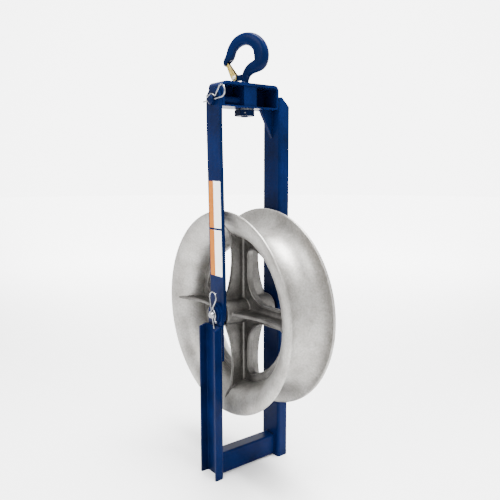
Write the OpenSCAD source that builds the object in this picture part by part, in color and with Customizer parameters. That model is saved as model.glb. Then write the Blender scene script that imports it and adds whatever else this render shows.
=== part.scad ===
// Hook sheave: a cast cable wheel in an open-sided channel frame, which hangs
// from a swivel hook or stands on the floor on its two channel legs.
// The origin is on the floor under the middle of the wheel. +Z is up and the
// wheel turns about Y. The strap and the clips are on the -Y side.

/* [Wheel] */
// Diameter over the flange lips
wheel_d = 457; // [430:1:480]
// Width over the flange lips
wheel_w = 126; // [116:1:132]
// Depth of the rope groove below the lips
groove_depth = 50; // [40:1:60]
// Thickness of the flange at its lip
lip_wall = 7; // [5:0.5:9]
// Thickness of the rim under the groove
rim_floor = 10; // [7:0.5:14]
// Thickness of the plate between hub and rim
plate_t = 12; // [9:0.5:16]
// Radius of the windows' outer edge
window_r = 147; // [135:1:155]
// Width of each spoke in the plate
spoke_w = 42; // [34:1:50]
// Radius of a window's corner at the hub
window_root_r = 60; // [40:1:65]
// Radius of a window's corners at the rim
window_tip_r = 14; // [8:1:20]
// Thickness of a spoke's rib
rib_t = 8; // [6:0.5:12]
// Size of the fillet along a rib's root
rib_fillet = 7; // [3:0.5:10]
// Reach of a rib to each side at the hub
rib_hub_reach = 57; // [48:1:60]
// Reach of a rib to each side at its waist
rib_waist_reach = 37; // [28:1:42]
// Reach of a rib to each side at the rim
rib_rim_reach = 48; // [42:1:52]
// Radius at which a rib is narrowest
rib_waist_r = 120; // [90:1:140]
// Diameter of the hub
hub_d = 58; // [54:1:64]
// Room between the hub and each side of the frame
hub_room = 9.5; // [9:0.1:12]

/* [Bearings and axle] */
// Diameter of the axle
axle_d = 19; // [17:0.5:20]
// Outer diameter of a ball bearing
bearing_od = 41.3; // [38:0.1:44]
// Width of a ball bearing
bearing_w = 11.1; // [10:0.1:13]
// Diameter of a bearing ball
ball_d = 6.4; // [5:0.1:7]
// Number of balls in a bearing
ball_count = 9; // [7:1:10]
// Thickness of the dust seal at each end of the hub
seal_t = 1.6; // [1:0.1:2.5]
// Diameter of the spacer on the axle at the rear
spacer_d = 34; // [28:1:40]
// Diameter of the black thrust washer at the strap
thrust_d = 46; // [36:1:50]
// Diameter of the axle's head
axle_head_d = 32; // [26:1:36]
// Thickness of the axle's head
axle_head_t = 6; // [4:0.5:8]

/* [Frame] */
// Height of the axle above the floor
axle_h = 375; // [350:1:400]
// Distance between the faces that hold the wheel
inside_w = 153; // [150:1:160]
// Width of both channels
leg_w = 62; // [54:1:70]
// Wall thickness of both channels
leg_t = 4.8; // [3:0.2:5]
// Outer radius of the channels' bends
leg_bend_r = 6.5; // [5.5:0.5:10]
// Depth of the front channel's flanges
front_leg_depth = 22; // [18:1:26]
// Depth of the rear channel's flanges
rear_leg_depth = 26; // [20:1:30]
// Drop of the front channel's top below the axle
front_leg_drop = 24; // [23:0.5:32]
// Fall of the front channel's top towards its flange tips
front_leg_fall = 5.5; // [0:0.5:10]
// Height of the rear channel's web
rear_leg_h = 851; // [840:1:870]
// Fall of the rear channel's top towards its flange tips
rear_leg_fall = 20; // [0:1:30]
// Width of the plate that carries the axle at the front
axle_plate_w = 51; // [46:1:54]
// Thickness of the plate that carries the axle at the front
axle_plate_t = 6.5; // [5:0.5:8]
// Length of that plate behind the front channel
axle_plate_lap = 78; // [50:1:120]
// Diameter of the collar on the axle plate
collar_d = 41; // [34:1:44]
// Thickness of the collar on the axle plate
collar_t = 3.5; // [2:0.5:4]
// Width of the tie between the legs
tie_w = 32; // [25:1:40]
// Height of the tie between the legs
tie_h = 50; // [40:1:60]
// Wall thickness of the tie
tie_t = 3; // [2:0.5:5]
// Height of the tie above the floor
tie_gap = 3; // [2:0.5:10]

/* [Strap] */
// Width of the side strap
strap_w = 50; // [44:1:50]
// Thickness of the side strap
strap_t = 7; // [5:0.5:8]
// Height above the axle of the strap's lower bend
strap_bend_low = 45; // [35:1:80]
// Drop below the stud of the strap's upper bend
strap_bend_top = 50; // [40:1:90]

/* [Head] */
// Height of the head's underside above the floor
head_z = 823; // [815:1:830]
// Height of the head
head_h = 52; // [46:1:60]
// Width of the head
head_w = 51; // [46:1:56]
// Thickness of the bent bar over the head
head_bar_t = 6; // [5:0.5:8]
// Outer radius of the bar's bends
head_bend_r = 12; // [9:0.5:16]
// Thickness of the head's back
head_plate_t = 5; // [4:0.5:7]
// Thickness of the head's floor
head_floor_t = 3.4; // [2.5:0.1:3.4]
// Length of the block that carries the hook
block_l = 34; // [30:1:40]
// Recess of the block behind the head's open face
block_recess = 4; // [1:0.5:8]
// Diameter of the stud that holds the strap
stud_d = 20; // [17:0.5:20]
// Height of the stud's axis above the head's underside
stud_rise = 13.5; // [13.5:0.5:18]
// Height of the gusset between head and rear leg
gusset_h = 61; // [40:1:80]
// Length of the gusset along the head
gusset_l = 34; // [24:1:46]
// Thickness of the gusset
gusset_t = 8; // [5:0.5:10]

/* [Clips] */
// Wire diameter of the clips
wire_d = 3.2; // [2.5:0.1:3.4]
// Radius of a clip's loop
clip_loop_r = 12; // [9:0.5:13]
// Distance from the pin to the loop's middle
clip_loop_s = 38; // [36:1:44]
// Length of a clip's straight leg past the pin
clip_leg_past = 31; // [26:1:36]
// Tilt of the upper clip
strap_clip_tilt = -4; // [-8:1:8]
// Tilt of the axle clip
axle_clip_tilt = 77; // [70:1:90]

/* [Hook] */
// Turn of the hook about the vertical in the stored pose
hook_turn = 27; // [0:1:60]
// Diameter of the hook's shank
shank_d = 16; // [14:0.5:17]
// Height of the hook above the head
hook_rise = 107.7; // [106:0.1:109]
// Radius of the hook's bowl
bowl_r = 22.4; // [21.5:0.1:23]
// Radius of the hook's back
back_r = 51; // [50:0.5:52]
// Distance of the bowl's middle from the shank's axis
bowl_off = 1.5; // [0:0.5:2.5]
// Half thickness of the hook's belly
hook_half_t = 11.5; // [10:0.5:12]
// Width of the latch at its pin
latch_w = 16; // [15:0.5:17]
// Width of the latch at its end
latch_end_w = 13; // [12:0.5:13.5]
// Sheet thickness of the latch
latch_t = 1.6; // [1.2:0.1:2]
// Diameter of the latch pin
latch_pin_d = 5; // [4:0.5:6]
// Wire diameter of the latch spring
spring_wire_d = 1; // [0.8:0.1:1.1]
// Width across the flats of the hook's nut
nut_af = 38; // [32:1:40]
// Thickness of the hook's nut
nut_t = 13; // [10:0.5:16]
// Thickness of the washer above the nut
nut_washer_t = 3; // [2:0.5:4]

/* [Hidden] */
$fn = 64;
// Clearances: faces that touch lightly, running fits and bodies that pass each other
seat_gap = 0.2;
run_gap = 0.05;
turn_gap = 0.3;
eps = 0.01;

// Wheel
lip_r = lip_wall / 2;
lip_mid_r = wheel_d / 2 - lip_r;
rim_half = wheel_w / 2;
groove_half = rim_half - lip_wall;
rim_deep = groove_depth + rim_floor;
wall_mid_half = rim_half - lip_wall / 2;
wall_mid_deep = groove_depth + rim_floor / 2;
rim_steps = 24;
lip_steps = 6;
rib_steps = 10;
hub_r = hub_d / 2;
relief_r = bearing_od / 2 - 3.5;
rib_end_t = acos(rib_rim_reach / wall_mid_half);
rib_end_r = lip_mid_r - wall_mid_deep * sin(rib_end_t);
part_r = window_r - window_tip_r;
spoke_root_r = norm([spoke_w / 2, spoke_w / 2 + window_root_r]);

// Axle stack, counted from the wheel's middle plane towards each side
front_in = inside_w / 2;
strap_low_out = front_in;
strap_low_in = strap_low_out - strap_t;
strap_top_in = front_in;
axle_plate_out = front_in + axle_plate_t;
front_web_out = axle_plate_out + leg_t;
clip_clear = 0.5;
axle_clip_y = front_web_out + clip_clear + wire_d / 2;
clip_to_end = 6;
pin_chamfer = 3.5;
axle_end_y = axle_clip_y + clip_to_end;
rear_web_out = front_in + leg_t;
hub_len = inside_w - 2 * hub_room;
hub_half = hub_len / 2;
bearing_in_y = hub_half - seal_t - bearing_w;
race_wall = 4;

// Strap and stud
stud_h = head_z + stud_rise;
strap_clip_gap = 2;
strap_clip_y = strap_top_in + strap_t + strap_clip_gap + wire_d / 2;
stud_end_y = strap_clip_y + clip_to_end;

// Head
head_top = head_z + head_h;
block_front = head_w / 2 - block_recess;

// Clip: s runs along the straight leg from loop to tip, n away from it
wire_r = wire_d / 2;
bump_r = stud_d / 2 + 0.5 + wire_r;
waist_r = 5;
bump_in = 50;
bump_out = 40;
flare_r = 6;
flare_turn = 75;
flare_len = 5;
waist_c = [-(bump_r + waist_r) * sin(bump_in), (bump_r + waist_r) * cos(bump_in)];
loop_c = [-clip_loop_s, clip_loop_r];
loop_to_waist = waist_c - loop_c;
loop_exit = asin((clip_loop_r + waist_r) / norm(loop_to_waist))
    - atan2(loop_to_waist[1], loop_to_waist[0]);
loop_run = sqrt(pow(norm(loop_to_waist), 2) - pow(clip_loop_r + waist_r, 2));

// Hook, in its own plane: u to the right, w up from the head's top
bowl_c = [bowl_off, hook_rise - 48.6];
back_c = [6.5, hook_rise - back_r];
latch_pivot = [-22, 14];
latch_seat = [-39.5, 44.5];
latch_eye_r = 6.5;
latch_end_r = 3;
latch_way = latch_seat - latch_pivot;
latch_len = norm(latch_way);
latch_turn = atan2(latch_way[1], latch_way[0]);
latch_web_x = 9.5;
latch_tangent = acos((latch_eye_r - latch_end_r) / latch_len);
latch_edge = (latch_eye_r - latch_web_x * cos(latch_tangent)) / sin(latch_tangent);
ear_t = 5;
nut_bottom = head_z - turn_gap - nut_washer_t - nut_t;
shank_low = nut_bottom - 2;
nut_turn = hook_turn + 30;
hook_sides = 20;
wire_sides = 16;

// Points of an ellipse-shaped wall curve: x is the radius, y the place along the axle
function wall_curve(half, deep, from, to, n) = [
    for (i = [0:n])
        let (t = from + (to - from) * i / n)
            [lip_mid_r - deep * sin(t), half * cos(t)]
];

// Points of a round lip, on the side given by s
function lip_arc(s) = [
    for (i = [1:lip_steps - 1])
        let (a = 180 * i / lip_steps)
            [lip_mid_r + lip_r * sin(a), s * (groove_half + lip_r) - lip_r * cos(a)]
];

function rim_profile() = concat(
    wall_curve(groove_half, groove_depth, 180, 0, rim_steps),
    lip_arc(1),
    wall_curve(rim_half, rim_deep, 0, 180, rim_steps),
    lip_arc(-1)
);

// Half depth of a rib at radius r
function rib_reach(r) = r < rib_waist_r
    ? rib_waist_reach
        + (rib_hub_reach - rib_waist_reach) * pow((rib_waist_r - r) / (rib_waist_r - hub_r), 2)
    : rib_waist_reach
        + (rib_rim_reach - rib_waist_reach) * pow((r - rib_waist_r) / (rib_end_r - rib_waist_r), 2);

function rib_side(s) = [
    for (i = [0:rib_steps])
        let (r = hub_r - 2 + (rib_end_r - hub_r + 2) * i / rib_steps)
            [r, s * rib_reach(max(r, hub_r))]
];

function reversed(v) = [for (i = [len(v) - 1:-1:0]) v[i]];

function rib_outline() = concat(
    rib_side(-1),
    wall_curve(wall_mid_half, wall_mid_deep, 180 - rib_end_t, rib_end_t, rib_steps),
    reversed(rib_side(1))
);

// Points of an arc in a plane
function arc_points(c, r, from, to, n) = [
    for (i = [0:n])
        let (a = from + (to - from) * i / n)
            [c[0] + r * cos(a), c[1] + r * sin(a)]
];

// One window, in the quarter where both coordinates are positive
function window_outline() =
    let (
        e = spoke_w / 2,
        q = e + window_tip_r,
        far = sqrt(pow(window_r - window_tip_r, 2) - q * q),
        turn = atan2(far, q),
        root = e + window_root_r
    )
    concat(
        arc_points([root, root], window_root_r, 270, 180, 12),
        arc_points([q, far], window_tip_r, 180, turn, 6),
        arc_points([0, 0], window_r, turn, 90 - turn, 12),
        arc_points([far, q], window_tip_r, 90 - turn, -90, 6)
    );

// Turns a shape that was drawn about Z so that it turns about Y, with +Z facing -Y
module about_axle() {
    translate([0, 0, axle_h]) rotate([90, 0, 0]) children();
}

module four_ways() {
    for (k = [0:3]) rotate([0, 0, 90 * k]) children();
}

// Strip of fillet along both roots of a rib, on both faces of the plate
module rib_root() {
    for (face = [0, 1], side = [0, 1])
        mirror([0, 0, face]) mirror([0, side, 0])
            translate([hub_r - 2, rib_t / 2 - eps, plate_t / 2 - eps])
                rotate([90, 0, 90]) linear_extrude(window_r - hub_r + 10)
                    polygon([[0, 0], [rib_fillet, 0], [0, rib_fillet]]);
}

// The casting, drawn about Z
module casting() {
    difference() {
        union() {
            rotate_extrude($fn = 180) polygon(rim_profile());
            difference() {
                cylinder(r = lip_mid_r - wall_mid_deep, h = plate_t, center = true, $fn = 180);
                four_ways() linear_extrude(plate_t + 2, center = true) polygon(window_outline());
            }
            four_ways() {
                rotate([90, 0, 0]) linear_extrude(rib_t, center = true) polygon(rib_outline());
                rib_root();
            }
            cylinder(d = hub_d, h = hub_len, center = true);
        }
        cylinder(r = relief_r, h = hub_len + 2, center = true);
        for (s = [0, 1]) mirror([0, 0, s])
            translate([0, 0, bearing_in_y])
                cylinder(d = bearing_od, h = hub_half - bearing_in_y + 1);
    }
}

// The casting in three nodes, parted across the spokes where they start and stop being straight
module sheave_rim() {
    color("#c4c2bd") about_axle() difference() {
        casting();
        cylinder(r = part_r, h = hub_len + 2, center = true, $fn = 180);
    }
}

module sheave_spokes() {
    color("#c4c2bd") about_axle() difference() {
        intersection() {
            casting();
            cylinder(r = part_r, h = hub_len + 2, center = true, $fn = 180);
        }
        cylinder(r = spoke_root_r, h = hub_len + 4, center = true, $fn = 180);
    }
}

module sheave_centre() {
    color("#c4c2bd") about_axle() intersection() {
        casting();
        cylinder(r = spoke_root_r, h = hub_len + 2, center = true, $fn = 180);
    }
}

// Places a ring at one bearing: s = 1 is the front
module at_bearing(s) {
    translate([0, -s * (bearing_in_y + bearing_w / 2), axle_h]) rotate([90, 0, 0]) children();
}

ball_track_r = (bearing_od + axle_d) / 4;

module race(inner, outer, play) {
    rotate_extrude() difference() {
        translate([inner, -bearing_w / 2]) square([outer - inner, bearing_w]);
        translate([ball_track_r, 0]) circle(r = ball_d / 2 + play);
    }
}

module bearing_outer() {
    color("#9a9ea3") race(bearing_od / 2 - race_wall, bearing_od / 2 - eps, eps);
}

module bearing_inner() {
    color("#9a9ea3") race(axle_d / 2 + run_gap, axle_d / 2 + race_wall, turn_gap);
}

module bearing_balls() {
    color("#d5d8dc") for (i = [0:ball_count - 1])
        rotate([0, 0, 360 * i / ball_count]) translate([ball_track_r, 0, 0]) sphere(d = ball_d);
}

// Rubber ring pressed into the mouth of the hub's bore
module dust_seal() {
    color("#1c1c1e") translate([0, 0, bearing_w / 2 + eps]) difference() {
        cylinder(d = bearing_od - 2 * eps, h = seal_t - 2 * eps);
        translate([0, 0, -1]) cylinder(d = axle_d + 2 * race_wall + 2 * turn_gap, h = seal_t + 2);
    }
}

module front_bearing_outer() { at_bearing(1) bearing_outer(); }
module rear_bearing_outer() { at_bearing(-1) bearing_outer(); }
module front_bearing_inner() { at_bearing(1) bearing_inner(); }
module rear_bearing_inner() { at_bearing(-1) bearing_inner(); }
module front_bearing_balls() { at_bearing(1) bearing_balls(); }
module rear_bearing_balls() { at_bearing(-1) bearing_balls(); }
module front_dust_seal() { at_bearing(1) dust_seal(); }
module rear_dust_seal() { at_bearing(-1) mirror([0, 0, 1]) dust_seal(); }

// Ring on the axle between two distances from the middle plane, on the side given by s
module axle_ring(d, from, to, s) {
    translate([0, -s * from, axle_h]) rotate([s * 90, 0, 0]) difference() {
        cylinder(d = d, h = to - from);
        translate([0, 0, -1]) cylinder(d = axle_d + 2 * run_gap, h = to - from + 2);
    }
}

module bearing_spacer() {
    color("#8d9196") axle_ring(axle_d + race_wall, -bearing_in_y, bearing_in_y, 1);
}

// The washer and the rear spacer reach in through the seals to the inner races
module front_thrust_washer() {
    color("#17181a") union() {
        axle_ring(thrust_d, hub_half + turn_gap, strap_low_in, 1);
        axle_ring(axle_d + 2 * race_wall, bearing_in_y + bearing_w, hub_half + turn_gap + eps, 1);
    }
}

module rear_spacer() {
    color("#8d9196") union() {
        axle_ring(spacer_d, hub_half + turn_gap, front_in, -1);
        axle_ring(axle_d + 2 * race_wall, bearing_in_y + bearing_w, hub_half + turn_gap + eps, -1);
    }
}

// Round bar along Y, chamfered at its front end
module pin_bar(d, from, to) {
    translate([0, from, 0]) rotate([90, 0, 0]) union() {
        cylinder(d = d, h = from - to - pin_chamfer);
        translate([0, 0, from - to - pin_chamfer])
            cylinder(d1 = d, d2 = d - 2 * pin_chamfer, h = pin_chamfer);
    }
}

// Cross hole for a clip's straight leg
module clip_hole(y, tilt) {
    translate([0, -y, 0]) rotate([0, tilt, 0]) rotate([0, 90, 0])
        cylinder(d = wire_d + 2 * seat_gap, h = 3 * stud_d, center = true);
}

module axle() {
    color("#c9ccd0") translate([0, 0, axle_h]) difference() {
        union() {
            pin_bar(axle_d, rear_web_out, -axle_end_y);
            translate([0, rear_web_out + axle_head_t, 0]) rotate([90, 0, 0])
                cylinder(d = axle_head_d, h = axle_head_t);
        }
        clip_hole(axle_clip_y, axle_clip_tilt);
    }
}

// Outline of a channel, web at the bottom, flanges up
module channel_section(depth) {
    half = leg_w / 2;
    r = leg_bend_r;
    polygon(concat(
        [[-half, depth]],
        arc_points([r - half, r], r, 180, 270, 8),
        arc_points([half - r, r], r, 270, 360, 8),
        [[half, depth], [half - leg_t, depth]],
        arc_points([half - r, r], r - leg_t, 360, 270, 8),
        arc_points([r - half, r], r - leg_t, 270, 180, 8),
        [[leg_t - half, depth]]
    ));
}

// Channel that stands on the floor, its top cut down towards the flange tips
module leg(depth, height, fall) {
    difference() {
        linear_extrude(height) channel_section(depth);
        translate([-leg_w, leg_t, height]) rotate([-atan2(fall, depth - leg_t), 0, 0])
            cube([2 * leg_w, 2 * depth, 2 * depth]);
    }
}

module rear_leg() {
    color("#1f3e75") difference() {
        translate([0, front_in, 0]) leg(rear_leg_depth, rear_leg_h, rear_leg_fall);
        translate([0, 0, axle_h]) rotate([90, 0, 0])
            cylinder(d = axle_d + 2 * seat_gap, h = 4 * front_in, center = true);
    }
}

module front_leg() {
    color("#1f3e75") translate([0, -axle_plate_out, 0]) mirror([0, 1, 0])
        leg(front_leg_depth, axle_h - front_leg_drop, front_leg_fall);
}

module axle_plate() {
    plate_low = front_leg_drop + axle_plate_lap;
    color("#1f3e75") translate([0, -front_in, axle_h]) rotate([90, 0, 0])
        linear_extrude(axle_plate_t) difference() {
            union() {
                circle(d = axle_plate_w, $fn = 96);
                translate([-axle_plate_w / 2, -plate_low]) square([axle_plate_w, plate_low]);
            }
            circle(d = axle_d + 2 * seat_gap);
        }
}

module axle_plate_collar() {
    color("#1f3e75") translate([0, -axle_plate_out, axle_h]) rotate([90, 0, 0]) difference() {
        cylinder(d = collar_d, h = collar_t);
        translate([0, 0, -1]) cylinder(d = axle_d + 2 * seat_gap, h = collar_t + 2);
    }
}

// Rectangular tube with rounded corners, from the axle plate's side to the rear leg
module foot_tie() {
    corner = 4;
    color("#1f3e75") translate([0, front_in, tie_gap]) rotate([90, 0, 0])
        linear_extrude(front_in + axle_plate_out) difference() {
            rounded_rect(tie_w, tie_h, corner);
            translate([0, tie_t]) rounded_rect(tie_w - 2 * tie_t, tie_h - 2 * tie_t, corner - tie_t / 2);
        }
}

// Rectangle centred on x with its foot on y = 0
module rounded_rect(w, h, r) {
    for (x = [-1, 1], y = [r, h - r]) translate([x * (w / 2 - r), y]) circle(r = r);
    translate([-w / 2 + r, 0]) square([w - 2 * r, h]);
    translate([-w / 2, r]) square([w, h - 2 * r]);
}

// Side view of the strap: it lies inside the axle plate and outside the head
module side_strap() {
    low = axle_h - strap_w / 2;
    high = stud_h + strap_w / 2;
    z1 = axle_h + strap_bend_low;
    z2 = stud_h - strap_bend_top;
    color("#1f3e75") difference() {
        intersection() {
            rotate([90, 0, -90]) linear_extrude(2 * strap_w, center = true) polygon([
                [strap_low_in, low], [strap_low_in, z1], [strap_top_in, z2], [strap_top_in, high],
                [strap_top_in + strap_t, high], [strap_top_in + strap_t, z2],
                [strap_low_out, z1], [strap_low_out, low]
            ]);
            rotate([90, 0, 0]) linear_extrude(2 * inside_w, center = true) union() {
                translate([0, axle_h]) circle(d = strap_w, $fn = 96);
                translate([0, stud_h]) circle(d = strap_w, $fn = 96);
                translate([-strap_w / 2, axle_h]) square([strap_w, stud_h - axle_h]);
            }
        }
        translate([0, 0, axle_h]) rotate([90, 0, 0])
            cylinder(d = axle_d + 2 * seat_gap, h = 2 * inside_w, center = true);
        translate([0, 0, stud_h]) rotate([90, 0, 0])
            cylinder(d = stud_d + 2 * seat_gap, h = 2 * inside_w, center = true);
    }
}

// End view of the head: x is the way along the axle, y the height above the head's underside
module head_outline(inset) {
    r = head_bend_r - inset;
    half = front_in - inset;
    top = head_h - inset;
    for (x = [-1, 1]) translate([x * (half - r), top - r]) circle(r = r);
    translate([-half + r, 0]) square([2 * (half - r), top]);
    translate([-half, 0]) square([2 * half, top - r]);
}

// Turns an end view into place and gives it a width along X
module across_head(x_from, x_to) {
    translate([x_from, 0, head_z]) rotate([90, 0, 90]) linear_extrude(x_to - x_from) children();
}

module shank_bore(d) {
    translate([0, 0, head_z - 1]) cylinder(d = d, h = head_h + 2);
}

// Flat bar bent down at both ends
module head_bar() {
    color("#1f3e75") difference() {
        across_head(-head_w / 2, head_w / 2) difference() {
            head_outline(0);
            head_outline(head_bar_t);
            translate([head_bar_t - front_in, -1])
                square([inside_w - 2 * head_bar_t, head_floor_t + 1]);
        }
        shank_bore(shank_d + 4 * run_gap);
        translate([0, 0, stud_h]) rotate([90, 0, 0]) cylinder(d = stud_d, h = 2 * inside_w);
    }
}

module head_floor() {
    color("#1f3e75") difference() {
        translate([-head_w / 2, -front_in + head_bar_t, head_z])
            cube([head_w, inside_w - 2 * head_bar_t, head_floor_t]);
        shank_bore(shank_d + 4 * run_gap);
    }
}

module head_back() {
    color("#1f3e75") across_head(-head_w / 2, -head_w / 2 + head_plate_t) difference() {
        head_outline(head_bar_t);
        translate([-inside_w, -1]) square([2 * inside_w, head_floor_t + 1]);
    }
}

module hook_block() {
    color("#1f3e75") difference() {
        translate([-head_w / 2 + head_plate_t, -block_l / 2, head_z + head_floor_t])
            cube([block_front + head_w / 2 - head_plate_t, block_l,
                head_h - head_floor_t - head_bar_t]);
        shank_bore(shank_d + 2 * run_gap);
    }
}

// Stud that the strap's upper end hangs on
module strap_stud() {
    color("#1f3e75") translate([0, 0, stud_h]) difference() {
        pin_bar(stud_d - 2 * eps, -block_l / 2, -stud_end_y);
        clip_hole(strap_clip_y, strap_clip_tilt);
    }
}

module head_gusset() {
    color("#1f3e75") rotate([90, 0, 90]) linear_extrude(gusset_t, center = true)
        polygon([[front_in, head_z], [front_in - gusset_l, head_z], [front_in, head_z - gusset_h]]);
}

// Points of a flat wire path: a step is [length], or [radius, turn to the left]
function walk(steps, p, a, i = 0) = i == len(steps) ? [] :
    let (s = steps[i])
    len(s) == 1
        ? let (q = p + s[0] * [cos(a), sin(a)]) concat([q], walk(steps, q, a, i + 1))
        : let (
            side = sign(s[1]),
            c = p + side * s[0] * [-sin(a), cos(a)],
            n = ceil(abs(s[1]) / 12),
            arc = arc_points(c, s[0], a - side * 90, a - side * 90 + s[1], n)
        )
        concat([for (k = [1:n]) arc[k]], walk(steps, arc[n], a + s[1], i + 1));

// Closed tube of diameter d along the points v; no piece of it runs along ref
module tube(v, d, ref) {
    last = len(v) - 1;
    skin([
        for (i = [0:last])
            let (
                go = v[min(i + 1, last)] - v[max(i - 1, 0)],
                t = go / norm(go),
                flat = cross(ref, t),
                x = flat / norm(flat),
                y = cross(t, x)
            )
            [for (k = [0:wire_sides - 1])
                v[i] + d / 2 * (x * cos(360 * k / wire_sides) + y * sin(360 * k / wire_sides))]
    ]);
}

// Spring clip, pin centre at the origin, straight leg along x with its tip at +x
module spring_clip() {
    start = [clip_leg_past, 0];
    path = concat([start], walk([
        [clip_leg_past + clip_loop_s], [clip_loop_r, -180 - loop_exit], [loop_run],
        [waist_r, loop_exit + bump_in], [bump_r, -bump_in - bump_out],
        [flare_r, flare_turn], [flare_len]
    ], start, 180));
    color("#c9ccd0") tube([for (p = path) [p[0], 0, p[1]]], wire_d, [0, 1, 0]);
}

module strap_clip() {
    translate([0, -strap_clip_y, stud_h]) rotate([0, strap_clip_tilt, 0]) rotate([0, 0, 180])
        spring_clip();
}

module axle_clip() {
    translate([0, -axle_clip_y, axle_h]) rotate([0, axle_clip_tilt, 0]) spring_clip();
}

// Hook stations: centre u, centre w, half width in the hook's plane, half thickness,
// and how square the section is (2 is an ellipse)
function bowl_station(a, wide, thick) =
    let (
        p = bowl_c + bowl_r * [cos(a), sin(a)],
        q = back_c + back_r * [cos(a), sin(a)],
        m = (p + q) / 2
    )
    [m[0], m[1], wide * norm(q - p) / 2, thick * hook_half_t, 2.7];

hook_stations = [
    [-42, 41, 5, 8.5, 2.5],
    [-42.3, 44.5, 6.5, 9.5, 2.6],
    [-41.5, 50.5, 7.6, 9.8, 2.7],
    [-34.6, 59.4, 9.8, 9.9, 2.7],
    bowl_station(150, 0.9, 0.88),
    bowl_station(120, 1, 0.92),
    bowl_station(90, 1, 0.95),
    bowl_station(60, 1, 0.98),
    bowl_station(30, 1, 1),
    bowl_station(0, 1, 1),
    bowl_station(-27, 0.86, 1),
    [17, 31.8, 12, 10.8, 2.6],
    [7, 22.8, 9.8, 9.6, 2.4],
    [3.4, 14, shank_d / 2 + 0.7, shank_d / 2 + 0.6, 2.2],
    [2, 7, shank_d / 2 + 0.3, shank_d / 2, 2],
    [1.4, 2, shank_d / 2 - 0.8, shank_d / 2 - 1, 2]
];

// Smooth curve through the stations
function blend(a, b, c, d, t) =
    b + (c - a) * t / 2 + (2 * a - 5 * b + 4 * c - d) * t * t / 2
    + (3 * b - a - 3 * c + d) * t * t * t / 2;

function smooth(v, n) = concat(
    [
        for (i = [0:len(v) - 2], k = [0:n - 1])
            blend(v[max(i - 1, 0)], v[i], v[i + 1], v[min(i + 2, len(v) - 1)], k / n)
    ],
    [v[len(v) - 1]]
);

// Rounded-square ring across the path at station i
function hook_ring(v, i) =
    let (
        go = [v[min(i + 1, len(v) - 1)][0] - v[max(i - 1, 0)][0],
            v[min(i + 1, len(v) - 1)][1] - v[max(i - 1, 0)][1]],
        across = [-go[1], go[0]] / norm(go)
    )
    [
        for (k = [0:hook_sides - 1])
            let (
                a = 360 * k / hook_sides,
                c = sign(cos(a)) * pow(abs(cos(a)), 2 / v[i][4]) * v[i][2],
                s = sign(sin(a)) * pow(abs(sin(a)), 2 / v[i][4]) * v[i][3]
            )
            [v[i][0] + across[0] * c, s, v[i][1] + across[1] * c]
    ];

// Closed skin over rings of equal count
module skin(rings) {
    n = len(rings[0]);
    last = (len(rings) - 1) * n;
    polyhedron(
        points = [for (r = rings, p = r) p],
        faces = concat(
            [[for (k = [n - 1:-1:0]) k]],
            [
                for (j = [0:len(rings) - 2], k = [0:n - 1])
                    let (a = j * n + k, b = j * n + (k + 1) % n)
                    each [[a, b, b + n], [a, b + n, a + n]]
            ],
            [[for (k = [0:n - 1]) last + k]]
        ),
        convexity = 6
    );
}

// Turns the hook's own plane into place on top of the head
module in_hook_plane() {
    rotate([0, 0, hook_turn]) translate([0, 0, head_top]) children();
}

// Outline in the hook's plane, given a thickness across it
module hook_slab(t) {
    rotate([90, 0, 0]) linear_extrude(t, center = true) children();
}

module hook() {
    path = smooth(hook_stations, 3);
    color("#1f3e75") difference() {
        union() {
            in_hook_plane() {
                skin([for (i = [0:len(path) - 1]) hook_ring(path, i)]);
                hook_slab(ear_t) {
                    translate(latch_pivot) circle(r = latch_eye_r);
                    polygon([
                        latch_pivot + [0, -latch_eye_r], [0, 8], [2, 22],
                        latch_pivot + latch_eye_r * [cos(120), sin(120)]
                    ]);
                }
            }
            translate([0, 0, shank_low]) cylinder(d = shank_d, h = head_top + 1.2 - shank_low);
            translate([0, 0, head_top + turn_gap])
                cylinder(d1 = shank_d + 7, d2 = shank_d, h = 5);
        }
        in_hook_plane() {
            translate([latch_pivot[0], 0, latch_pivot[1]]) rotate([90, 0, 0])
                cylinder(d = latch_pin_d + 2 * eps, h = 4 * ear_t, center = true);
            intersection() {
                translate([latch_seat[0] - 3.8, -latch_end_w / 2 - 0.6, 30])
                    cube([20, latch_end_w + 1.2, 30]);
                translate([latch_pivot[0], 0, latch_pivot[1]]) rotate([90, 0, 0])
                    cylinder(r = latch_len + latch_end_r + 0.6, h = 2 * latch_w,
                        center = true, $fn = 128);
            }
        }
        translate([0, 0, nut_bottom + nut_t / 2]) rotate([90, 0, nut_turn])
            cylinder(d = 4 + eps, h = 2 * nut_af, center = true);
    }
}

module hook_nut() {
    color("#1f3e75") translate([0, 0, nut_bottom]) difference() {
        rotate([0, 0, nut_turn]) intersection() {
            cylinder(d = nut_af / cos(30), h = nut_t, $fn = 6);
            translate([0, 0, -nut_af / 2]) cylinder(
                d1 = 0, d2 = 2 * (nut_t + nut_af / 2) + 5, h = nut_t + nut_af / 2);
        }
        translate([0, 0, -1]) cylinder(d = shank_d + 2 * run_gap, h = nut_t + 2);
        translate([0, 0, nut_t / 2]) rotate([90, 0, nut_turn])
            cylinder(d = 4 + eps, h = 2 * nut_af, center = true);
    }
}

module nut_lock_pin() {
    color("#8d9196") translate([0, 0, nut_bottom + nut_t / 2]) rotate([90, 0, nut_turn])
        cylinder(d = 4 - eps, h = nut_af - 1, center = true);
}

module nut_washer() {
    color("#8d9196") translate([0, 0, nut_bottom + nut_t]) difference() {
        cylinder(d = nut_af + 3, h = nut_washer_t);
        translate([0, 0, -1]) cylinder(d = shank_d + 2 * run_gap, h = nut_washer_t + 2);
    }
}

// Latch frame: x from the pin to the latch's end, z away from the hook's bowl
module in_latch() {
    in_hook_plane() translate([latch_pivot[0], 0, latch_pivot[1]])
        rotate([0, -latch_turn, 0]) children();
}

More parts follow.
